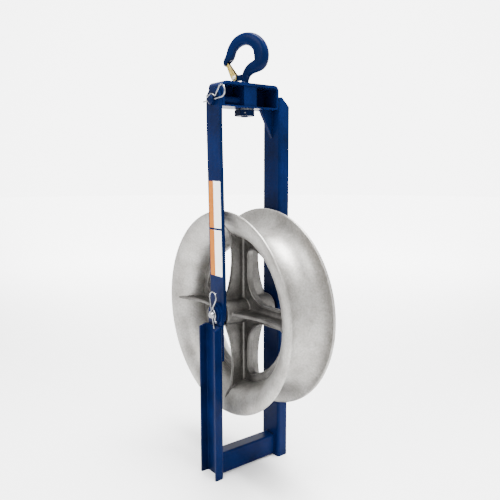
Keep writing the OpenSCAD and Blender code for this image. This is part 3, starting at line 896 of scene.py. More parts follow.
@dataclass
class Wheel:
    """The cast wheel: a turned rim, a spoked centre and a bored hub.

    Attributes:
        lip_r: Radius of the lips' middle.
        lip_half: Half the thickness of a lip.
        groove: Half width and depth of the groove's half ellipse.
        outside: Half width and depth of the rim's outer half ellipse.
        plate_t: Thickness of the centre plate.
        plate_r: Radius of the plate's edge, inside the rim.
        spoke_half: Half width of a spoke.
        spoke_end: Radius where the plate's cross and the ribs' roots end.
        window: Outer radius, tip radius and root radius of the windows.
        bead: How far a bead's middle lies outside its window, and its radius.
        bead_sunk: How deep a bead's middle lies in the plate's face.
        rib: Thickness of a rib.
        reach: Reach of a rib at the hub, at its waist and at the rim.
        waist_r: Radius of a rib's waist.
        tail: Radii where a rib's tail starts and runs out.
        tail_rise: Length and slope of the tail's fall onto the rim.
        thin: Radius from which a rib thins, and what is left of it at its end.
        skin: Depth under the rim's outer skin at which the ribs' ends lie.
        fillet: Size of the fillets along the ribs.
        root_sunk: How deep the fillets lie in rib and plate.
        landing: Angles down the rim's wall that the patches under the ribs span.
        landing_half: Half angle of a patch about the axle.
        landing_skin: Depths of a patch's faces under the rim's outer skin.
        hub: Outer radius and half length of the hub.
        core: Inner radius, outer radius and half length of the spokes' middle.
        bore: Radius of the bearings and of the relief between them.
        bearing_in: Place of the bearings' inner faces along the axle.
    """

    lip_r: float = 225.0
    lip_half: float = 3.5
    groove: Pair = (56.0, 50.0)
    outside: Pair = (63.0, 60.0)
    plate_t: float = 12.0
    plate_r: float = 172.0
    spoke_half: float = 21.0
    spoke_end: float = 166.0
    window: Place = (147.0, 14.0, 60.0)
    bead: Pair = (2.6, 2.7)
    bead_sunk: float = 0.4
    rib: float = 8.0
    reach: Place = (57.0, 37.0, 48.0)
    waist_r: float = 120.0
    tail: Pair = (170.0, 200.0)
    tail_rise: Pair = (20.0, 0.14)
    thin: Pair = (172.0, 0.3)
    skin: float = 4.5
    fillet: float = 7.0
    root_sunk: float = 0.5
    landing: Pair = (14.0, 62.0)
    landing_half: float = 11.0
    landing_skin: Pair = (0.35, 6.0)
    hub: Pair = (29.0, 67.0)
    core: Place = (12.0, 28.4, 61.0)
    bore: Pair = (20.65, 17.15)
    bearing_in: float = 54.3

    def ellipse(self, size: Pair, start: float, end: float, count: int) -> np.ndarray:
        """Points of a rim wall.

        The radius is lip_r less the depth times sin t, the height is the half
        width times cos t.

        Args:
            size: Half width and depth.
            start: First angle t in degrees.
            end: Last angle t in degrees.
            count: How many points there are.

        Returns:
            Rows of radius and height.
        """
        t = np.radians(np.linspace(start, end, count))
        return np.column_stack([self.lip_r - size[1] * np.sin(t), size[0] * np.cos(t)])

    def lip(self, side: int) -> np.ndarray:
        """Lays points over a lip's round edge, a half circle about its middle.

        Args:
            side: 1 for the lip at +Z and -1 for the other.

        Returns:
            Rows of radius and height, from the groove to the outside at +Z.
        """
        a = np.radians(np.linspace(0, 180, 15)[1:-1])
        middle = self.groove[0] + self.lip_half
        radius = self.lip_r + self.lip_half * np.sin(a)
        height = side * middle - self.lip_half * np.cos(a)
        return np.column_stack([radius, height])

    def rim(self) -> Shell:
        """Carries the rim's closed section about the axle.

        Returns:
            The turned rim.
        """
        inside = self.ellipse(self.groove, 180, 0, 61)
        outside = self.ellipse(self.outside, 0, 180, 61)
        return revolved(np.vstack([inside, self.lip(1), outside, self.lip(-1)]), 288)

    def spokes(self) -> Shell:
        """Draws the plate's middle: a cross whose inner corners are large arcs.

        Returns:
            The cross as a prism.
        """
        half, root, far = self.spoke_half, self.window[2], self.spoke_end
        corner = arc((half + root, half + root), root, 270, 180, 24)
        quarter = np.vstack([[[far, half]], corner, [[half, far]]])
        turned = [quarter @ turn_about_z(90 * k)[:2, :2].T for k in range(4)]
        return prism(np.vstack(turned), -self.plate_t / 2, self.plate_t / 2)

    def tip_middle(self) -> Pair:
        """Finds the middle of a window's small arc, which touches spoke and outer arc.

        Returns:
            How far it lies along the spoke and across it.
        """
        outer, tip, _ = self.window
        across = self.spoke_half + tip
        return math.sqrt((outer - tip) ** 2 - across**2), across

    def web_ring(self, steps: int = 720) -> Shell:
        """Returns the plate's outer ring, whose inner edge follows the windows' tips.

        Its inner radius at angle a is where the ray at a leaves the window: on a
        tip's small arc near the spokes, on the large arc elsewhere.

        Args:
            steps: How many steps make the full turn.

        Returns:
            The ring.
        """
        outer, tip, _ = self.window
        far, q = self.tip_middle()
        angle = np.radians(np.linspace(0, 360, steps, endpoint=False))
        folded = np.abs((angle + math.pi / 4) % (math.pi / 2) - math.pi / 4)
        along = far * np.cos(folded) + q * np.sin(folded)
        square = np.clip(tip**2 - (far**2 + q**2 - along**2), 0, None)
        small = along + np.sqrt(square)
        large = folded > math.atan2(q, far)
        before = folded < math.atan2(self.spoke_half, far)
        inner = np.where(large, outer, np.where(before, outer - 2 * tip, small))
        half, edge = self.plate_t / 2, self.plate_r
        rings = [
            np.column_stack([r * np.cos(angle), r * np.sin(angle), np.full(steps, h)])
            for r, h in ((inner, -half), (edge, -half), (edge, half), (inner, half))
        ]
        return Shell(np.vstack(rings), ring_quads(4, steps, True)).outward()

    def window_beads(self) -> list[Shell]:
        """Carries a circle round one window, on each face of the plate.

        Returns:
            The two raised beads.
        """
        outer, tip, root = self.window
        e, (wide, radius) = self.spoke_half, self.bead
        away, q = self.tip_middle()
        turn = math.degrees(math.atan2(away, q))
        line = np.vstack(
            [
                arc((e + root, e + root), root + wide, 270, 180, 24),
                arc((q, away), tip + wide, 180, turn, 16),
                arc((0, 0), outer + wide, turn, 90 - turn, 36),
                arc((away, q), tip + wide, 90 - turn, -90, 16),
            ]
        )
        line = np.vstack([line, line[:2]])
        height = np.full(len(line), self.plate_t / 2 - self.bead_sunk)
        return [
            tube(np.column_stack([line, side * height]), radius, 10, ALONG_Z)
            for side in (-1, 1)
        ]

    def rib_reach(self, radius: np.ndarray) -> np.ndarray:
        """Works out a rib's half depth: its waist plus the square of the way from it.

        Args:
            radius: Radii along the rib.

        Returns:
            Half depths.
        """
        hub, waist, rim = self.reach
        inward = (self.waist_r - radius) / (self.waist_r - self.hub[0])
        outward = (radius - self.waist_r) / (self.rib_end() - self.waist_r)
        return np.where(
            radius < self.waist_r,
            waist + (hub - waist) * inward**2,
            waist + (rim - waist) * outward**2,
        )

    def tail_reach(self, radius: np.ndarray) -> np.ndarray:
        """Works out a tail's half depth: the rim's wall plus a height that runs out.

        Args:
            radius: Radii along the rib.

        Returns:
            Half depths, 0 before the tail.
        """
        (start, end), (length, slope) = self.tail, self.tail_rise
        sine = np.clip((self.lip_r - radius) / self.outside[1], 0, 1)
        wall = self.outside[0] * np.sqrt(1 - sine**2)
        rise = np.clip(end - radius, 0, length) * slope
        return np.where(radius > start, wall + rise, 0)

    def rib_end(self) -> float:
        """Finds where a rib's edge meets the middle of the rim's wall.

        Returns:
            The radius.
        """
        half = (self.groove[0] + self.outside[0]) / 2
        deep = (self.groove[1] + self.outside[1]) / 2
        return self.lip_r - deep * math.sin(math.acos(self.reach[2] / half))

    def rib_blade(self) -> Shell:
        """Draws one rib, an upright slab along +X with waisted edges and thin tails.

        Returns:
            The rib.
        """
        tail_end = self.tail[1]
        radius = np.linspace(self.hub[0] - 3, tail_end, 60)
        depth = np.maximum(self.rib_reach(radius), self.tail_reach(radius))
        top = np.column_stack([radius, depth])
        half, deep = self.outside[0] - self.skin, self.outside[1] - self.skin
        t = math.degrees(math.asin((self.lip_r - tail_end) / deep))
        end = self.ellipse((half, deep), t, 180 - t, 40)[1:-1]
        outline = np.vstack([top, end, (top * [1, -1])[::-1]])
        slab = prism(outline, -self.rib / 2, self.rib / 2)
        thinned = (self.thin[0], tail_end), (1, self.thin[1])
        slab.points[:, 2] *= np.interp(slab.points[:, 0], *thinned)
        return slab.mapped(UPRIGHT)

    def rib_roots(self) -> list[Shell]:
        """Draws one rib's fillets: quarter circles carried along it, a little sunk.

        Returns:
            The four strips.
        """
        strips = []
        size, sunk = self.fillet, self.root_sunk
        away, up = self.rib / 2 - sunk, self.plate_t / 2 - sunk
        bent = arc((size, size), size, 180, 270, 6)
        section = np.vstack([[[0, 0]], bent[::-1]])
        for side in (-1, 1):
            for face in (-1, 1):
                flat = section * [side, face] + [side * away, face * up]
                bar = prism(flat, self.hub[0] - 2, self.spoke_end)
                strips.append(bar.mapped(np.array([[0, 0, 1], [1, 0, 0], [0, 1, 0]])))
        return strips

    def hub_ring(self) -> Shell:
        """Carries the bored hub's section about the axle.

        Returns:
            The hub.
        """
        out, half = self.hub
        big, relief = self.bore
        side = [
            (relief, 0), (relief, self.bearing_in), (big, self.bearing_in),
            (big, half - 1.0), (big + 1.0, half), (out - 2.5, half),
            (out - 0.9, half - 0.7), (out, half - 2.5), (out, 0),
        ]
        back = [(r, -h) for r, h in side[::-1] if h > 0]
        return revolved(side + back, 128)

    def wall_patches(self) -> list[Shell]:
        """Draws patches of the rim's half ellipse, under its skin, for a rib's end.

        Returns:
            The two patches.
        """
        patches = []
        t = np.radians(np.linspace(*self.landing, 20))
        angle = np.radians(np.linspace(-self.landing_half, self.landing_half, 24))
        for side in (-1, 1):
            skins = []
            for inset in self.landing_skin:
                radius = self.lip_r - (self.outside[1] - inset) * np.sin(t)
                height = side * (self.outside[0] - inset) * np.cos(t)
                x = radius[:, None] * np.cos(angle)
                y = radius[:, None] * np.sin(angle)
                z = np.broadcast_to(height[:, None], x.shape)
                skins.append(np.stack([x, y, z], axis=-1))
            patches.append(slab_between(*skins))
        return patches

    def placed(self, shell: Shell) -> Shell:
        """Lays a shell that is drawn about Z on the axle."""
        return shell.mapped(UPRIGHT).moved((0.0, 0.0, AXLE_Z))

    def build(self, shop: Workshop) -> None:
        """Makes the rim, the spoked centre and the hub.

        Args:
            shop: Makes and dresses the pieces.
        """
        centre = [self.spokes(), self.web_ring()]
        for k in range(4):
            turn = turn_about_z(90 * k)
            arm = [
                self.rib_blade(), *self.rib_roots(),
                *self.wall_patches(), *self.window_beads(),
            ]
            centre += [shell.mapped(turn) for shell in arm]
        centre.append(sleeve(*self.core, 96))
        rim = shop.mesh("rim", [self.placed(self.rim())])
        shop.hand_over(rim, Body.WHEEL, Finish.TURNED, ("sheave_rim",))
        spider = shop.fused("spoked_centre", [self.placed(x) for x in centre], 1.5, 3)
        shop.cut(spider, [self.placed(sleeve(AXIS, 19.0, 80.0, 64))])
        cast = ("sheave_centre", "sheave_spokes")
        shop.hand_over(spider, Body.WHEEL, Finish.CASTING, cast)
        hub = shop.mesh("hub", [self.placed(self.hub_ring())])
        shop.hand_over(hub, Body.WHEEL, Finish.CASTING)


# ---------------------------------------------------------------- hook


@dataclass
class HookSizes:
    """Sizes of the forged hook, in its own plane.

    The plane's u runs to the right of the shank and w up from the head's top.

    Attributes:
        turn: Turn of the plane about the shank in degrees.
        head_top: Height of the head's top.
        rise: Height of the hook's back over the head.
        bowl_r: Radius of the bowl.
        bowl: Middle of the bowl: its u, and how far it lies under the back.
        back_r: Radius of the hook's back.
        back_off: The back's middle in u.
        half_t: Half the hook's thickness.
        shank_r: Radius of the shank.
        shank_low: Height of the shank's end.
        pivot: Middle of the latch's pin.
        seat: Where the latch's end lies on the tip.
        eye_r: Radius of the ear about the pin.
        ear_t: Thickness of the ear.
        pin_r: Radius of the latch's pin.
        notch_w: Width of the cut at the tip.
        notch_room: Room about the latch's end and past its seat.
        sheet: Thickness of the latch's sheet.
    """

    turn: float = 27.0
    head_top: float = 875.0
    rise: float = 107.7
    bowl_r: float = 22.4
    bowl: Pair = (1.5, 48.6)
    back_r: float = 51.0
    back_off: float = 6.5
    half_t: float = 11.5
    shank_r: float = 8.0
    shank_low: float = 804.7
    pivot: Pair = (-22.0, 14.0)
    seat: Pair = (-39.5, 44.5)
    eye_r: float = 6.5
    ear_t: float = 5.0
    pin_r: float = 2.5
    notch_w: float = 14.2
    notch_room: Pair = (3.6, 3.8)
    sheet: float = 1.6

    def bowl_row(self, angle: float, wide: float, thick: float) -> list[float]:
        """Returns a station half way between the bowl's circle and the back's.

        Args:
            angle: Its angle in degrees.
            wide: Its share of the way between the circles.
            thick: Its share of the hook's thickness.

        Returns:
            The station, as in stations.
        """
        low, high = self.rise - self.bowl[1], self.rise - self.back_r
        p = np.array([self.bowl[0], low]) + self.bowl_r * unit(angle)
        q = np.array([self.back_off, high]) + self.back_r * unit(angle)
        half = wide * float(np.linalg.norm(q - p)) / 2
        return [*((p + q) / 2), half, thick * self.half_t, 2.7]

    def stations(self) -> np.ndarray:
        """Lists the hook's stations from the tip to the shank.

        Returns:
            Rows of u, w, half width, half thickness and squareness.
        """
        bowl = [
            (150, 0.9, 0.88), (120, 1, 0.92), (90, 1, 0.95),
            (60, 1, 0.98), (30, 1, 1), (0, 1, 1), (-27, 0.86, 1),
        ]
        r = self.shank_r
        rows = [
            [-41.8, 40.2, 2.6, 5.6, 2.2], [-42, 41.4, 5.2, 8.4, 2.5],
            [-42.3, 44.5, 6.5, 9.5, 2.6], [-41.5, 50.5, 7.6, 9.8, 2.7],
            [-34.6, 59.4, 9.8, 9.9, 2.7],
            *[self.bowl_row(*row) for row in bowl],
            [17, 31.8, 12, 10.8, 2.6], [7, 22.8, 9.8, 9.6, 2.4],
            [3.4, 14, r + 0.7, r + 0.6, 2.2], [2, 7, r + 0.3, r, 2],
            [1.4, 1.5, r - 0.8, r - 1, 2],
        ]
        return np.array(rows, float)

    def latch_frame(self) -> tuple[np.ndarray, float]:
        """Works out how the latch lies at rest.

        Returns:
            Its turn as a matrix, and its length.
        """
        way = np.subtract(self.seat, self.pivot)
        turn = math.degrees(math.atan2(way[1], way[0]))
        return turn_about_y(-turn), float(np.linalg.norm(way))


@dataclass
class Hook:
    """The forged swivel hook with its latch spring.

    Attributes:
        size: The hook's sizes.
        ridge: Height of the parting line's ridge as a share of the half width,
            and its breadth as a sine.
        wire: Radius of the spring's wire.
        coil_turn: Degrees that the spring's coil turns.
        coil_pitch: Rise of the coil in one turn.
        legs: Lengths of the spring's two legs.
        leg_gap: Way from the coil's end to a leg's first point.
        slack: Room of the coil under the latch's sheet and beside the ear.
    """

    size: HookSizes = field(default_factory=HookSizes)
    ridge: Pair = (0.03, 0.1)
    wire: float = 0.5
    coil_turn: float = 740.0
    coil_pitch: float = 1.15
    legs: Pair = (17.0, 8.0)
    leg_gap: float = 0.6
    slack: Pair = (0.1, 0.15)

    def placed(self, shell: Shell) -> Shell:
        """Turns a shell from the hook's plane (u, across, w) onto the head."""
        turned = shell.mapped(turn_about_z(self.size.turn))
        return turned.moved((0, 0, self.size.head_top))

    def body(self, sides: int = 64, steps: int = 10) -> Shell:
        """Returns the hook's forged body.

        A smooth curve through the stations gives the middle line and half sizes.
        Each ring is |x/a|^n + |y/b|^n = 1 with a low ridge at the outer and inner
        parting line.

        Args:
            sides: Points in each ring.
            steps: Rings between stations.

        Returns:
            The closed body in the hook's plane.
        """
        v = self.size.stations()
        k, end = np.arange(len(v) - 1), len(v) - 1
        near = (np.maximum(k - 1, 0), k, k + 1, np.minimum(k + 2, end))
        a, b, c, d = (v[rows][:, None, :] for rows in near)
        t = (np.arange(steps) / steps)[None, :, None]
        curve = (
            b + (c - a) * t / 2 + (2 * a - 5 * b + 4 * c - d) * t**2 / 2
            + (3 * b - a - 3 * c + d) * t**3 / 2
        ).reshape(-1, 5)
        curve = np.vstack([curve, v[-1:]])
        way = directions(curve[:, :2])
        across = np.column_stack([-way[:, 1], way[:, 0]])
        angle = np.linspace(0, 2 * math.pi, sides, endpoint=False)
        power = 2 / curve[:, 4:5]
        cos = np.sign(np.cos(angle)) * np.abs(np.cos(angle)) ** power
        sin = np.sign(np.sin(angle)) * np.abs(np.sin(angle)) ** power
        high, broad = self.ridge
        ridge = 1 - high + high * np.exp(-((np.sin(angle) / broad) ** 2))
        wide = curve[:, 2:3] * cos * ridge
        u = curve[:, 0:1] + across[:, 0:1] * wide
        w = curve[:, 1:2] + across[:, 1:2] * wide
        return stacked(np.stack([u, curve[:, 3:4] * sin, w], axis=-1))

    def ear(self) -> list[Shell]:
        """Draws the ear that carries the latch's pin, as an eye and an arm.

        Returns:
            The closed shells.
        """
        s = self.size
        u, w = s.pivot
        eye = arc(s.pivot, s.eye_r, 0, 350, 35)
        inner = np.array(s.pivot) + s.eye_r * unit(120)
        arm = np.array([(u, w - s.eye_r), (0, 8), (2, 22), inner])
        return [upright(eye, s.ear_t), upright(arm, s.ear_t)]

    def shank(self) -> list[Shell]:
        """Turns the shank and the small foot over the head.

        Returns:
            The closed shells.
        """
        r, low = self.size.shank_r, self.size.shank_low - self.size.head_top
        bar = [(AXIS, low), (r - 1, low), (r, low + 1), (r, 2.0), (AXIS, 2.0)]
        foot = [(AXIS, 0.4), (r + 3.4, 0.4), (r + 3.2, 1.0), (r, 5.3), (AXIS, 5.3)]
        return [revolved(bar, 96), revolved(foot, 96)]

    def notch(self) -> Shell:
        """Draws the block that is cut from the tip, where the latch's end swings.

        Returns:
            The block: a sector about the latch's pin.
        """
        s = self.size
        u = s.pivot[0]
        _, length = s.latch_frame()
        reach, low = length + s.notch_room[0], s.seat[0] - s.notch_room[1]
        far = math.degrees(math.acos((low - u) / reach))
        outline = np.vstack([[[low, 30], [u, 30]], arc(s.pivot, reach, 90, far, 24)])
        return upright(outline, s.notch_w)

    def spring(self) -> Shell:
        """Carries the latch's wire.

        Its middle line is a screw line of two turns about the pin, between a
        leg along the latch's back and a short leg towards the hook.

        Returns:
            The spring.
        """
        s, wire = self.size, self.wire
        turn, length = s.latch_frame()
        coil_r = s.eye_r - s.sheet - wire - self.slack[0]
        start = math.acos((s.eye_r - 3) / length)
        end = start + math.radians(self.coil_turn)
        a = np.linspace(start, end, 150)
        rise = self.coil_pitch * (a - start) / (2 * math.pi)
        y = -s.ear_t / 2 - self.slack[1] - wire - rise
        coil = np.column_stack([coil_r * np.cos(a), y, coil_r * np.sin(a)])
        there = np.array([math.sin(start), 0, -math.cos(start)])
        back = np.array([-math.sin(end), 0, math.cos(end)])
        (long, short), gap = self.legs, self.leg_gap
        first = coil[0] + np.linspace(long, gap, 12)[:, None] * there
        last = coil[-1] + np.linspace(gap, short, 8)[:, None] * back
        shell = tube(np.vstack([first, coil, last]), wire, 12, ALONG_Y)
        return self.placed(shell.mapped(turn).moved((s.pivot[0], 0, s.pivot[1])))

    def build(self, shop: Workshop) -> None:
        """Makes the hook and the latch's spring.

        Args:
            shop: Makes and dresses the pieces.
        """
        s = self.size
        solid = [self.body(), *self.ear(), *self.shank()]
        forged = shop.fused("forged_hook", [self.placed(x) for x in solid], 0.75, 3)
        eye = upright(arc(s.pivot, s.pin_r + 0.05, 0, 350, 35), 40)
        shop.cut(forged, [self.placed(self.notch()), self.placed(eye)])
        shop.hand_over(forged, Body.HOOK, Finish.ENAMEL, ("hook",))
        coil = shop.mesh("latch_coil", [self.spring()])
        shop.hand_over(coil, Body.LATCH, Finish.STEEL, ("latch_spring",))


# ---------------------------------------------------------------- clips


@dataclass
class WireClip:
    """A bent wire clip, drawn with its pin at the origin.

    Attributes:
        name: The piece's name.
        node: The CAD node it stands for.
        body: The body it rides on.
        place: Where the pin's middle is.
        tilt: Turn about Y of the straight leg.
        flip: Whether the loop points to +X before the tilt.
        wire: The wire's diameter.
        loop_r: Radius of the loop.
        loop_s: How far the loop's middle is from the pin.
        past: How far the straight leg goes past the pin.
        bump_r: Radius of the bump over the pin.
        waist_r: Radius of the waist between loop and bump.
        bump_in: Degrees of the bump on the loop's side.
        bump_out: Degrees of the bump on the other side.
        flare: Radius, bend and end length of the flared tip.
    """

    name: str
    node: str
    body: Body
    place: Place
    tilt: float
    flip: bool
    wire: float = 3.2
    loop_r: float = 12.0
    loop_s: float = 38.0
    past: float = 31.0
    bump_r: float = 12.1
    waist_r: float = 5.0
    bump_in: float = 50.0
    bump_out: float = 40.0
    flare: Place = (6.0, 75.0, 5.0)

    def steps(self) -> list[Pair]:
        """Works out the bends. The leg from the loop touches loop and waist.

        Returns:
            Radius and bend of each arc, or length and 0 of each straight leg.
        """
        c, s = unit(self.bump_in)
        waist = (self.bump_r + self.waist_r) * np.array([-s, c])
        gap = waist - np.array([-self.loop_s, self.loop_r])
        span = float(np.linalg.norm(gap))
        touch = math.asin((self.loop_r + self.waist_r) / span)
        leave = math.degrees(touch - math.atan2(gap[1], gap[0]))
        run = math.sqrt(span**2 - (self.loop_r + self.waist_r) ** 2)
        return [
            (self.past + self.loop_s, 0.0), (self.loop_r, -180 - leave), (run, 0.0),
            (self.waist_r, leave + self.bump_in),
            (self.bump_r, -self.bump_in - self.bump_out),
            (self.flare[0], self.flare[1]), (self.flare[2], 0.0),
        ]

    def path(self) -> np.ndarray:
        """Joins straight legs by tangent arcs.

        Returns:
            Points of the wire's middle line.
        """
        here, heading = np.array([self.past, 0.0]), 180.0
        rows = [here[None, :]]
        for size, bend in self.steps():
            if bend == 0:
                count = max(3, int(size / 1.5))
                t = np.linspace(0, size, count)[1:, None]
                leg = here + t * unit(heading)
            else:
                side = 90 * math.copysign(1, bend)
                centre = here + size * unit(heading + side)
                start, count = heading - side, int(abs(bend) / 4)
                leg = arc(tuple(centre), size, start, start + bend, count)[1:]
                heading += bend
            rows.append(leg)
            here = leg[-1]
        flat = np.vstack(rows)
        return np.column_stack([flat[:, 0], np.zeros(len(flat)), flat[:, 1]])

    def build(self, shop: Workshop) -> None:
        """Makes the clip as a tube with rounded ends.

        Args:
            shop: Makes and dresses the piece.
        """
        path = self.path()
        along = lengths(path)
        near_end = np.minimum(along, along[-1] - along)
        r = self.wire / 2
        dome = np.clip(r**2 - (r - near_end) ** 2, (0.3 * r) ** 2, None)
        radius = np.where(near_end < r, np.sqrt(dome), r)
        shell = tube(path, radius, 24, ALONG_Y)
        if self.flip:
            shell = shell.mapped(turn_about_z(180))
        shell = shell.mapped(turn_about_y(self.tilt)).moved(self.place)
        piece = shop.mesh(self.name, [shell])
        shop.hand_over(piece, self.body, Finish.WIRE, (self.node,))


# ---------------------------------------------------------------- frame


@dataclass
class Welds:
    """The fillet welds that join the frame.

    Attributes:
        size: Radius of a bead.
        pitch: Distance between its ripples.
        ripple: Depth of a ripple as a share of the radius.
        start: What a bead's radius starts from, as a share of it.
        grow: Length over which a bead grows to its full radius.
    """

    size: float = 2.4
    pitch: float = 2.3
    ripple: float = 0.14
    start: float = 0.45
    grow: float = 2.0

    def bead(
        self,
        start: Place | np.ndarray,
        end: Place | np.ndarray,
        ref: Place,
        size: float,
    ) -> Shell:
        """Returns one bead.

        Its radius grows a little along each ripple and falls back at the next,
        and runs out at both ends.

        Args:
            start: Where the bead starts.
            end: Where it ends.
            ref: A direction that its line never runs along.
            size: Its radius.

        Returns:
            The closed bead.
        """
        corners = np.array([start, end], float)
        length = lengths(corners)
        at = np.linspace(0, length[-1], max(8, int(length[-1] / self.pitch * 7)))
        line = np.column_stack([np.interp(at, length, corners[:, k]) for k in range(3)])
        wave = np.sin(math.pi * ((at / self.pitch) % 1))
        full = np.clip(np.minimum(at, length[-1] - at) / self.grow, 0, 1)
        ripple = 1 - self.ripple + self.ripple * wave
        ends = self.start + (1 - self.start) * np.sqrt(full)
        return tube(line, size * ripple * ends, 12, ref)

    def twins(
        self, axis: int, start: Place, end: Place, ref: Place, size: float
    ) -> list[Shell]:
        """Draws a bead and its mirror image, with the sign of one axis changed.

        Args:
            axis: 0 for X and 1 for Y.
            start: Where the bead starts.
            end: Where it ends.
            ref: A direction that its line never runs along.
            size: Its radius.

        Returns:
            Both beads.
        """
        beads = []
        for sign in (-1, 1):
            side = np.ones(3)
            side[axis] = sign
            beads.append(self.bead(start * side, end * side, ref, size))
        return beads

    def tie(self) -> list[Shell]:
        """Draws the beads between the foot tie and the legs' webs.

        Returns:
            The closed shells.
        """
        beads = []
        for wall in (76.2, -82.7):
            beads += self.twins(0, (16, wall, 6), (16, wall, 50), ALONG_X, self.size)
            beads.append(self.bead((-13, wall, 53), (13, wall, 53), ALONG_Z, self.size))
        return beads

    def gusset(self) -> list[Shell]:
        """Draws the corner plate's beads, under the head and on the rear leg.

        Returns:
            The closed shells.
        """
        under, leg = 822.8, 76.3
        return [
            *self.twins(0, (4, 45, under), (4, 75, under), ALONG_X, 1.9),
            *self.twins(0, (4, leg, 766), (4, leg, 818), ALONG_X, 1.9),
        ]

    def head(self) -> list[Shell]:
        """Draws the beads between the head and the rear leg.

        Returns:
            The closed shells.
        """
        leg, under = 76.2, 822.8
        return [
            *self.twins(0, (25.3, leg, 826), (25.3, leg, 850), ALONG_X, self.size),
            self.bead((-24, leg, under), (-7, leg, under), ALONG_Z, 2.0),
            self.bead((7, leg, under), (24, leg, under), ALONG_Z, 2.0),
        ]

    def plate(self) -> list[Shell]:
        """Draws the beads round the axle plate on the front leg.

        Returns:
            The closed shells.
        """
        return [
            *self.twins(0, (25.5, -83, 276), (25.5, -83, 347), ALONG_X, 2.0),
            self.bead((-22, -82.8, 273), (22, -82.8, 273), ALONG_Z, 2.0),
            self.bead((-24, -83.4, 351.2), (24, -83.4, 351.2), ALONG_Z, 2.6),
        ]

    def recess(self) -> list[Shell]:
        """Draws the beads round the hook's block and at the ends of the floor.

        Returns:
            The closed shells.
        """
        size, block, end = 1.7, 17, 70.4
        return [
            *self.twins(1, (-20, block, 827), (20, block, 827), ALONG_Y, size),
            *self.twins(1, (-20.3, block, 829), (-20.3, block, 866), ALONG_X, size),
            *self.twins(1, (-20, end, 826.6), (24, end, 826.6), ALONG_Y, size),
        ]

    def build(self, shop: Workshop) -> None:
        """Makes the welds, one piece for each joint.

        Args:
            shop: Makes and dresses the pieces.
        """
        for name, beads in (
            ("tie_welds", self.tie()),
            ("gusset_welds", self.gusset()),
            ("head_welds", self.head()),
            ("plate_welds", self.plate()),
            ("recess_welds", self.recess()),
        ):
            piece = shop.mesh(name, beads)
            shop.hand_over(piece, Body.FRAME, Finish.WELD)


@dataclass
class StrapPanels:
    """Two plain colour panels stuck on the strap's outer face.

    Attributes:
        width: Width of a panel.
        split: Share of the width that the orange strip takes.
        spans: Lower and upper end of each panel.
        bends: Heights of the strap's two bends.
        faces: Place of the strap's outer face below and above the bends.
        thick: Thickness of the white film.
        proud: How far the orange strip stands out of it.
        sunk: How far the films lie in the strap's paint.
        corner: Radius of a film's corners.
    """

    width: float = 44.0
    split: float = 0.4
    spans: tuple[Pair, ...] = ((461.0, 562.0), (566.5, 667.5))
    bends: Pair = (420.0, 786.5)
    faces: Pair = (-76.5, -83.5)
    thick: float = 0.3
    proud: float = 0.06
    sunk: float = 0.05
    corner: float = 2.0

    def film(self, left: float, right: float, span: Pair, thick: float) -> Shell:
        """Returns a rounded film on the strap's face, which falls between the bends.

        Args:
            left: Its left edge.
            right: Its right edge.
            span: Its lower and its upper edge.
            thick: Its thickness.

        Returns:
            The closed film.
        """
        r = self.corner
        low, high = span[0] + r, span[1] - r
        west, east = left + r, right - r
        middles = ((east, high), (west, high), (west, low), (east, low))
        corners = [arc(m, r, 90 * k, 90 * k + 90, 6) for k, m in enumerate(middles)]
        flat = prism(np.vstack(corners), -self.sunk, thick)
        x, z, out = flat.points.T
        face = np.interp(z, self.bends, self.faces)
        return Shell(np.column_stack([x, face - out, z]), flat.faces).outward()

    def build(self, shop: Workshop) -> None:
        """Makes both panels, each of a white film and an orange strip.

        Args:
            shop: Makes and dresses the pieces.
        """
        half = self.width / 2
        edge = -half + self.width * self.split
        for name, right, thick, finish in (
            ("white_panels", half, self.thick, Finish.WHITE),
            ("orange_strips", edge, self.thick + self.proud, Finish.ORANGE),
        ):
            films = [self.film(-half, right, span, thick) for span in self.spans]
            shop.hand_over(shop.mesh(name, films, False), Body.FRAME, finish)


# ---------------------------------------------------------------- studio


@dataclass(frozen=True)
class Lamp:
    """A soft square light that looks at the wheel.

    Attributes:
        name: The light's name.
        at: Its place in metres.
        size: Its side in metres.
        power: Its power in watts.
    """

    name: str
    at: Place
    size: float
    power: float

    def build(self) -> None:
        """Adds the light."""
        data = bpy.data.lights.new(self.name, "AREA")
        data.shape, data.size, data.energy = "SQUARE", self.size, self.power
        made = bpy.data.objects.new(self.name, data)
        made.location = self.at
        way = Vector((0, 0, 0.5)) - Vector(self.at)
        made.rotation_euler = way.to_track_quat("-Z", "Y").to_euler()
        bpy.context.scene.collection.objects.link(made)


